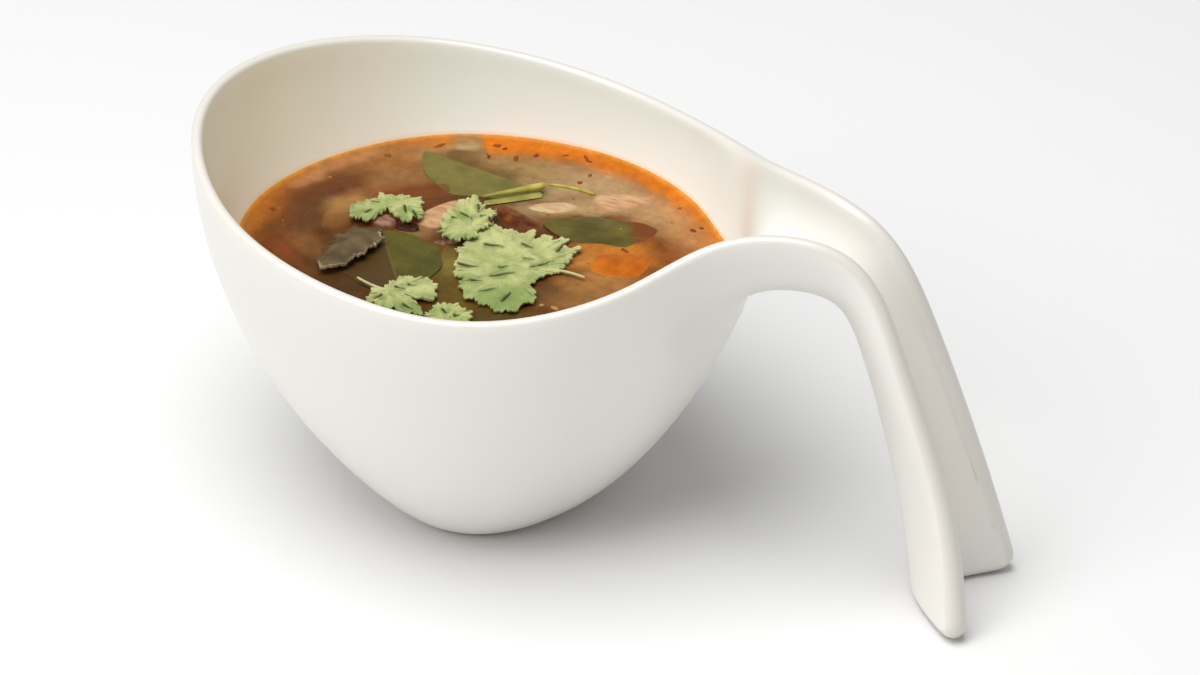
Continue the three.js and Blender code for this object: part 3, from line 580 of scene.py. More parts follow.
# Patches in the broth's top layer: x, y, length, width, turn, how much of the depth they hide, colour.
PATCHES = [
    (40, 32, 15, 6, 130, 0.88, (212, 148, 88)),
    (27, 37, 10, 6, 150, 0.9, (210, 164, 112)),
    (9, 43, 15, 6.5, 168, 0.92, (206, 172, 124)),
    (-3, 36, 8, 4.5, 15, 0.88, (190, 160, 110)),
    (-15, 44.5, 13, 4.2, -6, 0.88, (176, 142, 88)),
    (-33, 46.5, 5, 2.6, 30, 0.85, (206, 178, 128)),
    (-40, 41, 5, 5, 0, 0.85, (172, 136, 84)),
    (-48, 31, 12, 5, 50, 0.75, (182, 124, 68)),
    (-38, 27, 8, 5, 40, 0.85, (162, 122, 74)),
    (-57.5, 25, 17, 2.8, 64, 0.92, (220, 154, 104)),
    (-53, 13, 11, 4, 75, 0.85, (104, 62, 38)),
    (-54, 0, 12, 4.5, 95, 0.8, (108, 70, 44)),
    (-46.5, 8, 6, 4.4, 65, 0.85, (192, 144, 84)),
    (-63.5, -1, 9, 3.5, 85, 0.8, (172, 98, 40)),
    (-44, -14, 8, 3.4, -20, 0.8, (150, 102, 56)),
    (-50, -19, 5, 2.4, -40, 0.75, (150, 84, 44)),
    (-31, -25, 14, 6, -52, 0.85, (80, 60, 34)),
    (-8, -7, 6, 5, -50, 0.85, (138, 130, 62)),
    (-2, -19, 9, 6, -60, 0.85, (110, 96, 36)),
    (13, -25, 10, 4, 20, 0.85, (88, 78, 38)),
    (4, 23, 6, 3, -20, 0.8, (142, 108, 62)),
    (9, 31, 6, 3, 25, 0.85, (200, 164, 112)),
    (2.8, 28.6, 10, 4, 28, 0.8, (204, 170, 122)),
    (-44, 17, 6, 2, 40, 0.75, (168, 108, 66)),
    (32, 29.5, 8, 3.4, 20, 0.85, (172, 124, 74)),
    (38.5, 23.5, 8, 3, 12, 0.88, (136, 74, 26)),
    (45, 15, 7, 5, 100, 0.7, (150, 84, 38)),
    (27, 16.5, 11, 4.8, 12, 0.92, (216, 132, 48)),
    (20.5, 10, 5, 4, 60, 0.9, (214, 146, 72)),
    (30, 1, 10, 5, 20, 0.85, (194, 138, 76)),
    (27, -8, 8, 5, 20, 0.85, (168, 120, 66)),
    (20, -9, 4, 5, -70, 0.9, (98, 68, 40)),
    (-23, 3, 4, 3, 40, 0.7, (182, 138, 84)),
]
PATCH_STRENGTH = 4.0
# The broth between the patches: how much of the depth it hides, and its colour.
BASE_SHARE, BASE_TINT = 0.45, (140, 90, 46)

# The oil along the wall: azimuth, width, how much of the depth it hides.
OIL = np.array([
    (-60, 3, 0.5), (0, 3, 0.8), (38, 2.8, 0.9), (50, 3.4, 0.9), (60, 4.4, 0.92), (70, 5.6, 0.95),
    (82, 6.8, 0.92), (90, 5.6, 0.9), (100, 7.4, 0.92), (112, 8.8, 0.95), (118.5, 8.6, 0.95),
    (121, 1.0, 0.2), (125, 1.0, 0.2), (128, 4.6, 0.7), (138, 3.4, 0.7), (146, 1, 0.5), (160, 1, 0.5),
    (170, 2, 0.7), (182, 4, 0.7), (200, 4, 0.6), (300, 3, 0.5),
])
OIL_TINT, PALE_OIL_TINT, OIL_EDGE = (222, 122, 20), (212, 138, 56), 1.0
# The golden line where the soup meets the wall: its width, its strength, how much it hides, its colour.
WATERLINE, WATERLINE_AMOUNT, WATERLINE_SHARE, WATERLINE_TINT = 0.8, 0.85, 0.92, (244, 172, 76)


def warp(x, y):
    """Moves places about a little, so that patches get wispy edges."""
    return (x + 1.1 * np.sin(y / 2.9 + 0.4) + 0.5 * np.sin(y / 1.2 + x / 2.1),
            y + 0.9 * np.sin(x / 3.3 + 1.7) + 0.4 * np.sin(x / 1.4 - y / 1.9))


def surface_tints(x, y, gap):
    """How much of the depth is hidden, and the colour of what hides it, at each point of the surface."""
    share = np.full(len(x), BASE_SHARE)
    weight = np.ones(len(x))
    tint = np.tile(wet(*BASE_TINT), (len(x), 1))
    moved_x, moved_y = warp(x, y)
    for place_x, place_y, length, width, turn, amount, colour in PATCHES:
        c, s = math.cos(turn * DEGREE), math.sin(turn * DEGREE)
        along = ((moved_x - place_x) * c + (moved_y - place_y) * s) / length
        across = ((moved_y - place_y) * c - (moved_x - place_x) * s) / width
        near = PATCH_STRENGTH * np.exp(-(along ** 2 + across ** 2) ** 1.5)
        share += amount * near
        weight += near
        tint += near[:, None] * np.array(wet(*colour))
    share /= weight
    tint /= weight[:, None]
    azimuth = np.degrees(np.arctan2(y, x))
    width = np.interp(azimuth, OIL[:, 0], OIL[:, 1], period=360)
    amount = np.interp(azimuth, OIL[:, 0], OIL[:, 2], period=360)
    ragged = gap + 0.5 * np.sin(azimuth / 5.3) + 0.25 * np.sin(azimuth / 2.1 + gap)
    oil = 1 / (1 + np.exp((ragged - width) / OIL_EDGE))
    deep = smooth(clamp((amount - 0.5) / 0.35))[:, None]
    oil_tint = mix(np.array(wet(*PALE_OIL_TINT)), np.array(wet(*OIL_TINT)), deep)
    share = mix(share, amount, oil)
    tint = mix(tint, oil_tint, oil[:, None])
    golden = WATERLINE_AMOUNT * np.exp(-(gap / WATERLINE) ** 2)
    golden_tint = np.array(wet(*WATERLINE_TINT))
    return mix(share, WATERLINE_SHARE, golden), mix(tint, golden_tint, golden[:, None])


# The soup's climb at the wall: how high, from how far off, and how far it reaches into the wall.
MENISCUS, MENISCUS_REACH, MENISCUS_OVERLAP = 0.9, 1.2, 0.15
# The surface's rings, how they crowd towards the wall, and how far the middle is from it.
SURFACE_RINGS, RING_CROWDING, MIDDLE_GAP = 80, 1.7, 60.0
# The heights of the soup's rings under the surface, how far they reach into the wall, and its bottom.
SIDE_LEVELS, SIDE_OVERLAP, SOUP_BOTTOM = (62, 56, 48, 40, 32, 24, 16, 9), 0.1, 5.4
# The cloudy core: its top, how far it drops at its edge, its bottom, and its gaps to the wall.
CORE_TOP, CORE_DROP, CORE_BOTTOM, CORE_EDGE_GAP, CORE_SIDE_GAP = 58.5, 9, 10, 4, 3.5


def grid_faces(rows, width, first=0, closed=True):
    """Faces between rows of points, which run right round when they are closed."""
    faces = []
    for start in range(first, first + (rows - 1) * width, width):
        for j in range(width if closed else width - 1):
            k = (j + 1) % width
            faces.append((start + j, start + width + j, start + width + k, start + k))
    return faces


def closed_faces(rings, count):
    """Faces of a closed form: a top point, rings of points going out and down, and a bottom point."""
    last = 1 + rings * count
    start = last - count
    top = [(0, 1 + j, 1 + (j + 1) % count) for j in range(count)]
    bottom = [(start + j, last, start + (j + 1) % count) for j in range(count)]
    return top + grid_faces(rings, count, 1) + bottom


def closed_rings(top, rings, bottom):
    return np.concatenate([[top], *rings, [bottom]]), closed_faces(len(rings), len(rings[0]))


def ring_at(radius, height):
    """A ring of points round the middle, one in each direction of ANGLES."""
    return np.stack([radius * COS, radius * SIN, np.broadcast_to(height, ANGLES.shape)], 1)


def soup_piece():
    """The broth: a surface that climbs a little at the wall, and sides just inside the porcelain."""
    wall = inner_outline(SOUP_LEVEL)
    flare = inner_outline(SOUP_LEVEL + MENISCUS) - wall
    rings, shares, tints = [], [], []
    for out in 1 - (1 - np.linspace(0, 1, SURFACE_RINGS + 1)[1:]) ** RING_CROWDING:
        radius = wall * out
        gap = wall - radius
        climb = np.exp(-gap / MENISCUS_REACH)
        share, tint = surface_tints(radius * COS, radius * SIN, gap)
        rings.append(ring_at(radius + (flare + MENISCUS_OVERLAP) * climb, SOUP_LEVEL + MENISCUS * climb))
        shares.append(share)
        tints.append(tint)
    for level in SIDE_LEVELS:
        rings.append(ring_at(inner_outline(level) + SIDE_OVERLAP, level))
        shares.append(share)
        tints.append(tint)
    points, faces = closed_rings((0, 0, SOUP_LEVEL), rings, (0, 0, SOUP_BOTTOM))
    middle_share, middle_tint = surface_tints(np.zeros(1), np.zeros(1), np.full(1, MIDDLE_GAP))
    fields = {
        "haze": np.concatenate([middle_share, *shares, middle_share]),
        "cloud": np.concatenate([middle_tint, *tints, middle_tint]),
    }
    add_piece("broth", points, faces, broth(), ["soup"], fields, sharp=50)


def cloudy_core():
    """What makes the broth opaque some millimetres down: a closed lump under the surface."""
    rings = []
    wall = inner_outline(CORE_TOP - 3)
    for share in np.linspace(0, 1, 30)[1:]:
        radius = (wall - CORE_EDGE_GAP) * share
        x, y = radius * COS, radius * SIN
        lumps = 0.5 * np.sin(x / 5.3 + 0.8) * np.cos(y / 4.6) + 0.3 * np.sin((x - y) / 2.7)
        rings.append(ring_at(radius, CORE_TOP - CORE_DROP * share ** 7 + lumps * (1 - share ** 4)))
    for level in (40, 25, 14):
        rings.append(ring_at(inner_outline(level) - CORE_SIDE_GAP, level))
    points, faces = closed_rings((0, 0, CORE_TOP), rings, (0, 0, CORE_BOTTOM))
    look = flesh("cloudy_broth", (0.27, 0.19, 0.15), (0.2, 0.13, 0.09), 90, 0.8, 0.0)
    add_piece("broth_core", points, faces, look)


# ------------------------------------------------------------------ shapes of the garnish

def lay(points, at=(0, 0), turn=0.0):
    """Turns a shape about the vertical and lays it at a place on the soup."""
    c, s = math.cos(turn * DEGREE), math.sin(turn * DEGREE)
    x, y, z = np.asarray(points, float).T
    return np.stack([at[0] + c * x - s * y, at[1] + s * x + c * y, SOUP_LEVEL + z], 1)


def thick_sheet(rows, closed, thickness):
    """Two faces and an edge from rows of middle points; closed rows run round a middle point."""
    rows = np.asarray(rows)
    count, width = rows.shape[:2]
    flat = rows.reshape(-1, 3)
    half = np.array([0, 0, thickness / 2])
    faces = grid_faces(count, width, 0, closed)
    if closed:
        edge = [(count - 1) * width + j for j in range(width)]
        flat = np.concatenate([flat, [flat[:width].mean(0)]])
        faces += [(len(flat) - 1, j, (j + 1) % width) for j in range(width)]
    else:
        edge = [i * width for i in range(count)]
        edge += [(count - 1) * width + j for j in range(1, width)]
        edge += [i * width + width - 1 for i in range(count - 2, -1, -1)]
        edge += list(range(width - 2, 0, -1))
    size = len(flat)
    under = [tuple(index + size for index in face[::-1]) for face in faces]
    sides = [(a, a + size, b + size, b) for a, b in zip(edge, edge[1:] + edge[:1])]
    return np.concatenate([flat + half, flat - half]), faces + under + sides


def both_faces(rows, middle=0.0):
    """The values of a closed sheet's rows and middle point, once for each of its two faces."""
    return np.tile(np.concatenate([*rows, [middle]]), 2)


def along_lines(x, y, lines, width):
    """1 on the nearest of some short lines, widest near their start, falling to 0 beside them."""
    found = np.zeros_like(x)
    for start_x, start_y, end_x, end_y in lines:
        way = np.array([end_x - start_x, end_y - start_y])
        length = np.hypot(*way)
        along = ((x - start_x) * way[0] + (y - start_y) * way[1]) / length ** 2
        across = ((x - start_x) * way[1] - (y - start_y) * way[0]) / length
        across = across - 0.05 * length * np.sin(2.6 * along + start_x)
        part = clamp(along)
        taper = (1 + 0.35 * np.sin(5 * start_x)) * (0.25 + 1.5 * part ** 0.5 * (1 - part) ** 1.2)
        inside = smooth(clamp(1 + 8 * np.minimum(along, 1 - along)))
        found = np.maximum(found, np.exp(-(across / (width * taper)) ** 2) * inside)
    return found


TOOTH_LENGTH = 1.5


def toothed_outline(outline, steps, rng):
    """Points round a leaf with small uneven teeth, and each point's share of the way round, in radians.

    The outline is given as directions in degrees and how far the leaf reaches there.
    """
    angles = circle(steps)
    directions, reaches = np.array(outline, float).T
    reach = np.interp(np.degrees(angles), directions, reaches, period=360)
    for _ in range(steps // 150):
        reach = (np.roll(reach, 1) + 2 * reach + np.roll(reach, -1)) / 4
    x, y = reach * np.cos(angles), reach * np.sin(angles)
    step = np.hypot(np.roll(x, -1) - np.roll(x, 1), np.roll(y, -1) - np.roll(y, 1)) / 2
    arc = np.cumsum(step)
    whole = 2 * math.pi * arc / arc[-1]
    count = round(arc[-1] / TOOTH_LENGTH)
    uneven = rng.uniform(0, 6, 4)
    phase = count * whole + 2.6 * np.sin(5 * whole + uneven[0]) + 1.6 * np.sin(9 * whole + uneven[1])
    size = 0.75 + 0.45 * np.sin(7 * whole + uneven[2]) + 0.4 * np.sin(13 * whole + uneven[3])
    tooth = size * (np.abs(np.sin(phase / 2)) ** 0.8 - 0.6)
    fine = 0.16 * np.sin(2.6 * phase + 2 * np.sin(11 * whole)) + 0.45 * np.sin(phase / 3.4 + uneven[0])
    out_x = (np.roll(y, -1) - np.roll(y, 1)) / (2 * step)
    out_y = -(np.roll(x, -1) - np.roll(x, 1)) / (2 * step)
    return x + out_x * (tooth + fine), y + out_y * (tooth + fine), whole


CILANTRO_THICKNESS, VEINS, VEIN_WIDTH, FOLDS_START = 0.4, 9, 1.1, 6


def cilantro_leaf(name, at, outline, fan, stem, lift, sway, slits, seed, steps=440, rings=34):
    """A toothed leaf whose folds and veins fan out from a point, with short slits where leaflets overlap. Its
    fields paint shade in the slits and folds, and highlights along its back edge and beside the slits.

    Measured from the leaf's middle: fan is where its veins start, stem where its stalk bends and ends,
    and a slit is a short line.
    """
    rng = np.random.default_rng(seed)
    edge_x, edge_y, whole = toothed_outline(outline, steps, rng)
    spread = rng.uniform(0, 6)
    rows, veins, slit_shades, shades, edge_highlights, suns = [], [], [], [], [], []
    # Painted highlight: how strongly the pale edge shows round the leaf, most along its back.
    back = clamp(0.45 + 0.75 * np.sin(np.arctan2(edge_y, edge_x) - 0.35))
    for share in np.linspace(0, 1, rings + 1)[1:] ** 0.8:
        x, y = share * edge_x, share * edge_y
        # Painted shade in the slits and beside them, and a painted highlight along their far side.
        slit_shade = along_lines(x, y, slits, 0.48)
        shade = along_lines(x - 0.3, y + 0.5, slits, 1.6)
        glint = 0.45 * along_lines(x - 0.1, y - 0.6, slits, 0.5)
        heading = np.arctan2(y - fan[1], x - fan[0])
        distance = np.hypot(x - fan[0], y - fan[1])
        opened = clamp(distance / FOLDS_START)
        fold = np.cos(VEINS * heading + spread + 0.6 * np.sin(distance / 4))
        vein = np.exp(-((1 - fold) * distance / VEIN_WIDTH) ** 2) * np.exp(-distance / 16)
        wave = sway * np.sin(x / 4.1 + 0.6) * np.cos(y / 3.7)
        ruffle = 0.28 * share ** 4 * np.sin(23 * whole + spread)
        ruffle += 0.12 * np.sin(x / 1.1 + y / 2) * np.sin(y / 0.9 - x / 3)
        relief = 0.24 * opened * fold - 0.12 * vein - 0.6 * slit_shade - 0.15 * shade - 0.25 * share ** 30
        lip = 0.18 * np.exp(-((1 - share) / 0.05) ** 2)
        rows.append(np.stack([x, y, lift + wave + ruffle + relief + lip], 1))
        veins.append(vein)
        slit_shades.append(slit_shade)
        shades.append(clamp(shade + 0.5 * (0.5 - 0.5 * fold) * opened))
        edge_highlights.append(np.maximum(glint, share ** 14 * back * (0.7 + 0.3 * np.sin(6 * whole + spread))))
        suns.append(clamp(0.6 + (y - 0.45 * x) / 34))
    stalk = tube([(*place, lift) for place in (fan, *stem)], 0.45, end_radius=0.3)
    points, faces, counts = joined([thick_sheet(rows, True, CILANTRO_THICKNESS), stalk])
    # Each field's values in the rows, in the middle and on the stalk.
    values = {"vein": (veins, 0, 0.6), "slit_shade": (slit_shades, 0, 0), "shade": (shades, 0, 0),
              "sun": (suns, 0.4, 1), "rim": (edge_highlights, 0, 0.4)}
    fields = {field: np.concatenate([both_faces(found, middle), np.full(counts[1], on_stalk)])
              for field, (found, middle, on_stalk) in values.items()}
    add_piece(name + "_leaf", lay(points, at), faces, CILANTRO, [name], fields)


TUBE_SIDES = 12


def tube(path, radius, end_radius, steps=18, flat=1.0):
    """A stalk along a quadratic curve, with rounded ends; flat below 1 presses it down."""
    start, bend, end = (np.array(place, float) for place in path)
    t = np.linspace(0, 1, steps + 1)[:, None]
    line = (1 - t) ** 2 * start + 2 * t * (1 - t) * bend + t ** 2 * end
    ahead = unit(np.gradient(line, axis=0))
    side = unit(np.cross(ahead, [0, 0, 1]))
    up = np.cross(side, ahead)
    turn = circle(TUBE_SIDES)
    taper = np.interp(t[:, 0], [0, 0.04, 0.96, 1], [0.6, 1, 1, 0.6]) * mix(radius, end_radius, t[:, 0])
    rings = []
    for i in range(steps + 1):
        section = np.outer(np.cos(turn), side[i]) + flat * np.outer(np.sin(turn), up[i])
        rings.append(line[i] + taper[i] * section)
    points = np.concatenate([*rings, [line[0], line[-1]]])
    first, last = len(points) - 2, len(points) - 1
    faces = []
    for j in range(TUBE_SIDES):
        k = (j + 1) % TUBE_SIDES
        for ring in range(0, steps * TUBE_SIDES, TUBE_SIDES):
            faces.append((ring + j, ring + k, ring + TUBE_SIDES + k, ring + TUBE_SIDES + j))
        faces.append((first, k, j))
        faces.append((last, steps * TUBE_SIDES + j, steps * TUBE_SIDES + k))
    return points, faces


def joined(shapes):
    """Several shapes as one: points and faces, and the number of points of each shape."""
    points, faces, counts = [], [], []
    for shape_points, shape_faces in shapes:
        start = sum(counts)
        faces += [tuple(index + start for index in face) for face in shape_faces]
        points.append(np.asarray(shape_points))
        counts.append(len(shape_points))
    return np.concatenate(points), faces, counts


RIB_WIDTH, BRANCH_WIDTH, BRANCH_SPACING, BRANCH_SLANT = 0.45, 0.28, 4.6, 0.75
LIME_THICKNESS, LIME_COLUMNS, LIME_ROWS = 0.5, 41, 91


def lime_leaf_piece(name, at, turn, length, half_width, lift, roll, pitch, curl, look, stain, ragged=0.03):
    """A smooth leaf with a midrib along x and slanting side veins, which rolls and dips into the soup.

    stain says where the leaf is stained, from how far along (-0.5 to 0.5) and across (-1 to 1) a place is.
    """
    rows, veins, stains = [], [], []
    across = np.linspace(-1, 1, LIME_COLUMNS)
    for along in np.linspace(0, 1, LIME_ROWS):
        bulge = math.sin(math.pi * along ** 0.9) ** 0.75
        width = half_width * max(0.02, bulge) * (1 + ragged * np.sin(19 * along + 1.5 * across))
        x = np.full(LIME_COLUMNS, (along - 0.5) * length)
        y = width * across
        side = y / half_width
        wave = 0.25 * np.sin(x / 3.3)
        z = lift + roll * side + pitch * x / length + (wave - curl) * side ** 2
        midrib = np.exp(-(y / RIB_WIDTH) ** 2)
        place = (x - np.abs(y) * BRANCH_SLANT) / BRANCH_SPACING
        beside = (place - np.round(place)) * BRANCH_SPACING
        branch = np.exp(-(beside / BRANCH_WIDTH) ** 2) * 0.45 * (1 - np.abs(across))
        z = z - 0.16 * midrib + 0.05 * branch
        rows.append(np.stack([x, y, z], 1))
        veins.append(np.maximum(midrib, branch))
        stains.append(stain(x / length, side))
    points, faces = thick_sheet(rows, False, LIME_THICKNESS)
    fields = {"vein": np.tile(np.concatenate(veins), 2), "stain": np.tile(np.concatenate(stains), 2)}
    add_piece(name + "_blade", lay(points, at, turn), faces, look, [name], fields)


LUMP_SIDES = 56
# How fine each wave over a lump is, and how strong.
LUMP_WAVES = ((1.6, 1), (3, 0.6), (6, 0.3), (11, 0.14))


def lump(name, at, turn, size, top, look, replaces=(), seed=1, rough=0.1, power=2.4, bend=0, taper=0):
    """A rounded uneven piece: a superellipsoid pushed in and out by a few waves, then tapered and bent."""
    rng = np.random.default_rng(seed)
    waves = [(rng.normal(0, 1, 3) * fineness, rng.uniform(0, 6.28), share) for fineness, share in LUMP_WAVES]
    down = np.linspace(0, math.pi, LUMP_SIDES // 2 + 1)
    points = []
    for phi in down:
        around = circle(LUMP_SIDES) if 0 < phi < math.pi else np.zeros(1)
        height = np.full(len(around), np.cos(phi))
        way = np.array([np.cos(around) * np.sin(phi), np.sin(around) * np.sin(phi), height])
        reach = 1 / (np.abs(way) ** power).sum(0) ** (1 / power)
        swell = sum(share * np.sin(direction @ way + phase) for direction, phase, share in waves)
        points.append((way * reach * (1 + rough * swell)).T)
    points = np.concatenate(points)
    points[:, 1] *= 1 - taper * points[:, 0]
    points = points * np.array(size) / 2
    points[:, 1] += bend * (2 * points[:, 0] / size[0]) ** 2
    points[:, 2] += top - size[2] / 2
    faces = closed_faces(len(down) - 2, LUMP_SIDES)
    add_piece(name, lay(points, at, turn), faces, look, replaces)


# ------------------------------------------------------------------ the pieces

cup_points, cup_faces, cup_fields = cup_solid()
add_piece("cup_body", cup_points, cup_faces, porcelain(), ["cup"], cup_fields, sharp=70)
soup_piece()
cloudy_core()

CILANTRO = cilantro()

cilantro_leaf(
    "cilantro_center", at=(6.1, -4.4), fan=(9.5, 4), stem=((14, 5.4), (19.1, 4.4)),
    lift=1.1, sway=0.4, seed=3, steps=600, rings=54,
    outline=[
        (3, 9.5), (26, 13.2), (43, 16.3), (54, 20.4), (62, 18.4), (66, 16.4), (70, 20.6),
        (76, 17.4), (81, 18.4), (91, 15.9), (96, 18.7), (112, 17.7), (124, 20.2), (132, 21.3),
        (140, 20.2), (150, 17.6), (162, 16.5), (175, 15), (183, 13), (194, 14.1), (202, 12.2),
        (213, 13.8), (221, 12.6), (232, 12.2), (241, 14.3), (257, 16.9), (278, 17.1), (289, 19.4),
        (300, 19.9), (312, 16.6), (321, 16.7), (325, 13.5), (331, 9.6), (344, 8.7),
    ],
    slits=[
        (-10.7, 8.1, -5.6, 8.1), (-2.5, 12.6, 0.8, 12.2), (1, 6.7, 3.9, 6.7),
        (-2.3, -0.6, -0.5, 0.9), (-12.4, -3, -7.4, -2), (-2.4, -4.8, 1.9, -1),
        (-1.5, -13, 1.4, -8.7), (5.1, -13.2, 5, -9), (7, 13, 7.4, 16.4), (5.2, 2.6, 8, 8.7),
        (-6.2, -8.4, -3.6, -7.4),
    ],
)
cilantro_leaf(
    "cilantro_upper", at=(-11.9, 9.1), fan=(1.5, -2.5), stem=((4, -4), (5.3, -5)),
    lift=2.6, sway=0.25, seed=5,
    outline=[
        (5, 5.7), (43, 6.3), (68, 8.7), (83, 8.7), (96, 9.4), (107, 12.4), (114, 10.8), (126, 11),
        (138, 8.5), (162, 7.2), (192, 6.5), (223, 6.8), (241, 8.3), (252, 9.4), (271, 9.1),
        (287, 8.3), (309, 7), (330, 4.7), (350, 5.1),
    ],
    slits=[
        (-4.1, 4, 0.2, 1.2), (-1.7, 9, 0.1, 6), (1.2, 4.4, 2.8, 4.6), (-3.5, -10.3, -3.5, -6.5),
        (3.9, 4, 5.7, 2.2), (-5, 0.6, -3.4, 0.4),
    ],
)
cilantro_leaf(
    "cilantro_left", at=(-35.8, 9.7), fan=(3, 1), stem=((6, 2.6), (9, 4)),
    lift=2.0, sway=0.3, seed=8,
    outline=[
        (25, 9.2), (36, 8.3), (44, 6.4), (66, 4.6), (101, 3.6), (145, 3.4), (192, 4.3), (205, 6.6),
        (222, 8.9), (238, 11.1), (248, 10.9), (260, 10.3), (270, 9.3), (279, 6.2), (285, 3.8),
        (303, 3), (312, 4.4), (320, 8.4), (327, 11), (341, 10.7), (346, 11.4), (357, 10.4),
    ],
    slits=[
        (8.3, -0.4, 10.8, -3.6), (-3.7, -0.7, -1.2, -1.1), (-2.3, -6.6, -1.8, -4.2),
        (5.1, 0.2, 7.4, -2.5),
    ],
)
cilantro_leaf(
    "cilantro_lower_left", at=(-15.4, -27.1), fan=(-1, 0), stem=((-5, 0.2), (-10.2, 2.3)),
    lift=1.6, sway=0.3, seed=11,
    outline=[
        (3, 9.5), (9, 11.4), (28, 11.6), (46, 11.7), (58, 11.2), (72, 9), (89, 7.8), (99, 5.3),
        (109, 3.3), (163, 2.8), (176, 3.8), (212, 4.2), (245, 6.5), (279, 6.7), (308, 8.5),
        (324, 11.5), (336, 13), (343, 11.2), (347, 6.5), (357, 4),
    ],
    slits=[
        (2.5, 5.3, 5, 4.9), (0.3, 2.7, 3.1, 2.5), (5.5, -3.5, 8.8, -4.5), (-1, -2, -1.6, -4.6),
    ],
)
cilantro_leaf(
    "cilantro_front", at=(2.1, -28.3), fan=(1, -5), stem=((2, -9), (6, -13)),
    lift=1.1, sway=0.3, seed=14, steps=360, rings=30,
    outline=[
        (20, 4.9), (47, 3.9), (75, 2.8), (104, 3.4), (124, 4.2), (158, 3.8), (187, 4.6), (221, 6),
        (245, 8), (270, 8.5), (300, 8), (330, 7), (359, 6.1),
    ],
    slits=[
        (-2.5, 0.6, -0.5, -1), (1.5, -1, 3, -0.4),
    ],
)

lime_leaf_piece(
    "lime_leaf_back", at=(-20.5, 38.5), turn=-9, length=41, half_width=15,
    lift=-0.3, roll=-0.6, pitch=0, curl=0.4,
    look=lime_leaf("leaf_olive", wet(126, 116, 54), wet(106, 98, 40), wet(172, 150, 92)),
    stain=lambda along, side: smooth(clamp((side - 0.84) / 0.08)) * smooth(clamp(1.6 + 3 * along)),
)
lime_leaf_piece(
    "lime_leaf_front", at=(-22.2, -13), turn=-53, length=31, half_width=13,
    lift=0.1, roll=0.15, pitch=0, curl=0.3,
    look=lime_leaf("leaf_dark", wet(98, 92, 30), wet(76, 72, 20), wet(84, 62, 28)),
    stain=lambda along, side: smooth(clamp(0.5 - 6 * side)),
)
lime_leaf_piece(
    "lime_leaf_right", at=(22.8, 23.2), turn=12, length=38, half_width=7,
    lift=0, roll=0.2, pitch=-1.2, curl=0.2, ragged=0.07,
    look=lime_leaf("leaf_green", wet(108, 96, 36), wet(80, 72, 22), wet(116, 60, 14), veined=0.15),
    stain=lambda along, side: smooth(clamp(0.5 + 4 * (along - 0.12) + 0.3 * side)),
)


OYSTER_REACHES = np.array([6.3, 9, 12.5, 8.5, 5.8, 7, 12.8, 7])


def oyster_cap():
    """A frilled cap whose pale edge shows to the right and front; the rest dips into the soup."""
    angles = circle(480)
    count = len(OYSTER_REACHES)
    place = angles / (2 * math.pi) * count
    first = np.floor(place).astype(int) % count
    reach = mix(OYSTER_REACHES[first], OYSTER_REACHES[(first + 1) % count], smooth(place % 1))
    reach = reach + 0.45 * np.sin(11 * angles) + 0.25 * np.sin(27 * angles + 1) + 0.12 * np.sin(61 * angles)
    shown = 1 / (1 + np.exp(-(np.cos(angles + 18 * DEGREE) + 0.05) / 0.12))
    rows, edges = [], []
    for share in np.linspace(0, 1, 25)[1:]:
        x, y = share * reach * np.cos(angles), share * reach * np.sin(angles)
        frill = 0.25 * share ** 3 * np.sin(13 * angles + 1) + 0.35 * share ** 10
        dip = 2.6 * share ** 2 * (1 - shown)
        height = 2 + 0.24 * np.sin((x + y) / 3) + frill - dip + 0.4 * (1 - share ** 2)
        rows.append(np.stack([x, y, height], 1))
        edges.append(shown * share ** 10 * (0.8 + 0.2 * np.sin(7 * angles)))
    points, faces = thick_sheet(rows, True, 0.7)
    add_piece("oyster_mushroom_cap", lay(points, (-34.9, -12.4)), faces, edged_cap(), ["oyster_mushroom"],
              {"edge": both_faces(edges)})


oyster_cap()

GRAIN = (1, 3, 1)
PALE_FLESH = flesh("mushroom_flesh", wet(220, 176, 130), wet(186, 134, 88), 200, stretch=GRAIN)
CREAM_FLESH = flesh("mushroom_cream", wet(220, 196, 148), wet(194, 156, 112), 200, stretch=GRAIN,
                    wetted=(190, 150, 104))
GILLS = flesh("mushroom_gills", wet(200, 152, 90), wet(164, 116, 62), 200, 0.6, 0.1)
DARK_SKIN = flesh("mushroom_skin", wet(104, 62, 40), wet(78, 44, 28), 120, 0.6, 0.1)
CHILLI_LOOK = flesh("chilli_skin", wet(140, 76, 36), wet(84, 38, 14), 300, 0.35, 0.1, wetted=(120, 74, 40))
DARK_CHILLI = flesh("chilli_dark", wet(84, 42, 26), wet(48, 22, 12), 300, 0.35, 0.1, wetted=(90, 50, 30))
SHALLOT_LOOK = flesh("shallot_flesh", wet(176, 130, 106), wet(96, 60, 42), 420, 0.35, 0.2, (1, 4, 1))
TOMATO_LOOK = flesh("tomato_flesh", wet(208, 114, 20), wet(172, 84, 10), 150, 0.5, 0.1, wetted=(200, 122, 48))
STALK_LOOK = stalk_look()
FLECK_LOOK = flesh("spice", wet(160, 78, 26), wet(96, 40, 14), 500, 0.5, 0.1, wetted=(150, 80, 36))
OIL_LOOK = flesh("oil_drop", wet(206, 124, 52), wet(186, 104, 40), 200, 0.2, 0.2)

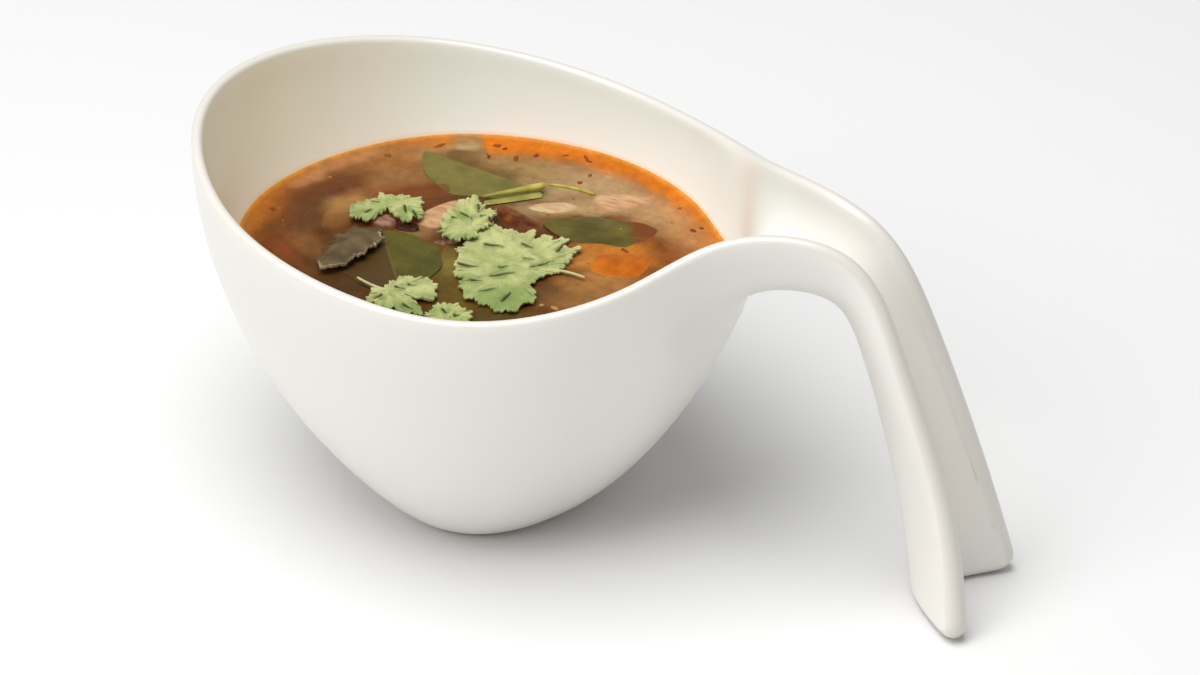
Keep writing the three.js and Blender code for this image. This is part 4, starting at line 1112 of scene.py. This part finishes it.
lump("mushroom_center_piece", (-21.7, 14), 75, (17, 8.4, 4.5), 0.7, PALE_FLESH,
     ["mushroom_center"], seed=2, rough=0.06, power=3.2, taper=0.15)
lump("mushroom_strip_near_piece", (2.8, 28.3), 28, (14.4, 5.8, 3.4), 0.6, CREAM_FLESH,
     ["mushroom_strip_near"], seed=3, rough=0.06, bend=0.6)
lump("mushroom_strip_far_piece", (16.6, 38.2), 35, (17.5, 9.2, 3.6), 0.65, PALE_FLESH,
     ["mushroom_strip_far"], seed=4, rough=0.08, bend=-1, taper=0.2)
lump("chilli_center_piece", (-3.6, 19.2), -20, (15, 6.8, 4.4), 1, CHILLI_LOOK,
     ["chilli_center"], seed=5, rough=0.08, bend=1)
lump("chilli_left_piece", (-26.9, 3.6), 10, (7, 4.8, 4), 0.9, DARK_CHILLI,
     ["chilli_left"], seed=6)
lump("shallot_left_piece", (-33.2, 4.2), 20, (5.6, 4.2, 3), 0.9, SHALLOT_LOOK,
     ["shallot_left"], seed=7, rough=0.2)
lump("shallot_center_piece", (-14.6, 2), 15, (5, 3.2, 3), 0.7, SHALLOT_LOOK,
     ["shallot_center"], seed=8, rough=0.2)
lump("tomato_chunk", (28.2, 10.6), 15, (19.5, 13.5, 5), 0.5, TOMATO_LOOK,
     ["tomato_piece"], seed=9, rough=0.1, power=2.8)
lump("mushroom_left_cap", (-52.2, 7.5), 84, (33, 8, 6), -0.5, DARK_SKIN,
     ["mushroom_left"], seed=10, rough=0.05, bend=-4.5)
lump("mushroom_left_gills", (-45.6, 5.6), 65, (15, 9, 5), -0.3, GILLS, seed=12, rough=0.04)


def leaf_stalk():
    """A rolled leaf edge that thickens to a blunt yellow end, with a thin leaf band under it."""
    end = (-2.8, 34.7, 1.9)
    roll = tube([(-14.8, 23.3, 1.6), (-8.7, 29, 1.8), end], 0.45, 1.0, steps=26)
    band = tube([(-14.2, 22.6, 0.3), (-8, 27.4, 0.5), (-2.9, 32.8, 0.3)], 1.2, 1.6, steps=26, flat=0.2)
    points, faces, counts = joined([roll, band])
    reach = np.hypot(points[:, 0] - end[0], points[:, 1] - end[1]) / 16.5
    shade = np.where(np.arange(len(points)) < counts[0], np.clip(1.3 * reach - 0.3, 0, 0.8), 1.0)
    add_piece("leaf_stalk_edge", lay(points), faces, STALK_LOOK, ["leaf_stalk"],
              {"shade": shade})


def thin_stalk():
    """The thin stem to the right of the rolled leaf."""
    points, faces = tube([(-3.6, 38.2, 0.1), (3, 39.9, 0.25), (9.6, 38.5, 0.3)], 0.35, 0.5)
    shade = np.zeros(len(points))
    add_piece("thin_stalk", lay(points), faces, STALK_LOOK, (), {"shade": shade})


leaf_stalk()


# ------------------------------------------------------------------ small things in the broth

BLOB_SIDES = 9
# How wide each ring of a blob is, and how high it lies.
BLOB_RINGS = ((0.55, 0.85), (1.0, 0.0), (0.6, -0.7))


def blob(rng, at, radius, height, lift, squash):
    """A small uneven flat lump that lies in the surface."""
    turn = circle(BLOB_SIDES)
    reach = radius * (1 + 0.3 * np.sin(2 * turn + rng.uniform(0, 6)) + rng.uniform(-0.15, 0.15, BLOB_SIDES))
    spin = rng.uniform(0, math.pi)
    rings = []
    for share, rise in BLOB_RINGS:
        x, y = share * reach * np.cos(turn), share * reach * squash * np.sin(turn)
        spun_x = x * math.cos(spin) - y * math.sin(spin)
        spun_y = x * math.sin(spin) + y * math.cos(spin)
        rings.append(np.stack([spun_x, spun_y, np.full(BLOB_SIDES, lift + rise * height)], 1))
    points, faces = closed_rings((0, 0, lift + height), rings, (0, 0, lift - height))
    return points + (*at, 0), faces


def scatter(name, shapes, look):
    """Several small shapes as one piece."""
    points, faces, _ = joined(shapes)
    add_piece(name, lay(points), faces, look)


# Where specks of spice show in the photograph, and how large they are.
FLECKS = [
    (-24.5, 50.5, 1.1), (-21.9, 50, 0.8), (-23.9, 44.5, 0.8), (-17, 46.6, 1.1), (-13, 50.3, 0.9),
    (-6.1, 53.5, 0.7), (-0.7, 54.9, 1.0), (0.8, 53.4, 0.8), (4.2, 47.1, 0.6), (3.4, 42.7, 0.8),
    (32.1, 42, 0.6), (39.6, 33.6, 0.9), (41.2, 35.4, 0.8), (-65.1, 9.7, 0.8), (-48, 33.6, 0.9),
    (-38.1, 44.1, 1.2), (26.6, 13.5, 1.3), (28.1, 17.4, 0.9), (31.7, 25.9, 0.7), (-61.7, -3.1, 0.9),
]
# Pale crumbs: x, y and size. The first lies on the chilli's edge as a pale speck: a painted highlight on the
# chilli.
CRUMBS = [
    (-6.9, 22.7, 0.5), (22.9, 26.0, 0.45), (-23.7, -4.7, 0.3), (-14.2, -11.3, 0.35),
    (-12.8, -2.1, 0.35), (-16, -5, 0.25), (24, -14.6, 1.4), (20.5, -14.8, 0.9),
]


def flecks():
    """Dark specks of spice, where they show, and a scatter of finer ones."""
    rng = np.random.default_rng(21)
    shapes = [blob(rng, (x, y), 1.3 * size, 0.28, 0.0, 0.6) for x, y, size in FLECKS]
    for _ in range(70):
        angle, reach = rng.uniform(0, 2 * math.pi), 56 * math.sqrt(rng.uniform(0, 1))
        place = (reach * math.cos(angle) - 3, reach * math.sin(angle) * 0.92)
        shapes.append(blob(rng, place, rng.uniform(0.15, 0.4), 0.12, 0.02, 0.7))
    scatter("spice_flecks", shapes, FLECK_LOOK)


def pale_bits():
    """Pale crumbs of mushroom and shallot, and one pale speck on the chilli that is a painted highlight."""
    rng = np.random.default_rng(5)
    shapes = [blob(rng, (x, y), size, 0.3, 0.2, 0.5) for x, y, size in CRUMBS]
    scatter("pale_bits", shapes, GILLS)


def oil_drops():
    """Flat drops of oil, some millimetres off the back of the wall."""
    rng = np.random.default_rng(9)
    shapes = []
    wall = inner_outline(SOUP_LEVEL)
    for _ in range(26):
        angle = rng.uniform(-10, 190) * DEGREE
        reach = np.interp(angle, ANGLES, wall) - rng.uniform(2, 12)
        place = (reach * math.cos(angle), reach * math.sin(angle))
        shapes.append(blob(rng, place, rng.uniform(0.2, 0.5), 0.16, 0.0, 0.9))
    scatter("oil_drops", shapes, OIL_LOOK)


flecks()
pale_bits()
oil_drops()
thin_stalk()
lump("sunk_mushroom_tan", (26.5, -2.5), 20, (17, 11, 6), -1.2, PALE_FLESH, seed=31, rough=0.07)
lump("sunk_mushroom_dark", (18, -8), -65, (9, 7, 5), -0.9, DARK_SKIN, seed=33, rough=0.07)


# ------------------------------------------------------------------ stage, light and camera

FLOOR_HALF, FLOOR_DROP = 4.0, 0.0002


def add_floor():
    mesh = bpy.data.meshes.new("floor")
    corners = [(-1, -1), (1, -1), (1, 1), (-1, 1)]
    mesh.from_pydata([(x * FLOOR_HALF, y * FLOOR_HALF, 0) for x, y in corners], [], [(0, 1, 2, 3)])
    mesh.materials.append(floor_look())
    floor = bpy.data.objects.new("floor", mesh)
    floor.location.z = -FLOOR_DROP
    bpy.context.scene.collection.objects.link(floor)


LIGHT_TARGET = (0, 0, 0.05)


def add_light(name, place, size, power):
    light = bpy.data.lights.new(name, "AREA")
    light.shape = "DISK"
    light.size = size
    light.energy = power
    lamp = bpy.data.objects.new(name, light)
    way = np.array(LIGHT_TARGET) - place
    lamp.location = place
    lamp.rotation_mode = "QUATERNION"
    lamp.rotation_quaternion = Vector(way).to_track_quat("-Z", "Y")
    bpy.context.scene.collection.objects.link(lamp)


WORLD_STRENGTH = 0.37


def add_world():
    world = bpy.data.worlds.new("studio")
    world.use_nodes = True
    background = world.node_tree.nodes["Background"]
    background.inputs["Color"].default_value = (1, 1, 1, 1)
    background.inputs["Strength"].default_value = WORLD_STRENGTH
    bpy.context.scene.world = world


# The photograph's camera: its place, its three directions and its focal length in the photograph's pixels.
CAMERA_PLACE = (389.382, -758.401, 594.030)
CAMERA_RIGHT = (0.903394, 0.428812, 0)
CAMERA_UP = (-0.233344, 0.491594, 0.838979)
CAMERA_AHEAD = (-0.359764, 0.757929, -0.544163)
FOCAL_PIXELS, IMAGE_WIDTH, SENSOR = 3996.33, 1200, 36.0


def add_camera():
    data = bpy.data.cameras.new("camera")
    data.sensor_fit = "HORIZONTAL"
    data.sensor_width = SENSOR
    data.lens = SENSOR * FOCAL_PIXELS / IMAGE_WIDTH
    data.clip_start, data.clip_end = 0.01, 20
    camera = bpy.data.objects.new("camera", data)
    turn = Matrix((CAMERA_RIGHT, CAMERA_UP, [-value for value in CAMERA_AHEAD])).transposed()
    camera.matrix_world = Matrix.Translation([value * MM for value in CAMERA_PLACE]) @ turn.to_4x4()
    bpy.context.scene.collection.objects.link(camera)
    bpy.context.scene.camera = camera


add_floor()
add_world()
add_light("key", (-0.55, -1.05, 1.1), size=0.9, power=7.6)
add_light("top", (-0.1, -0.25, 1.5), size=1.2, power=20)
add_camera()
bpy.context.scene.view_settings.view_transform = "Standard"
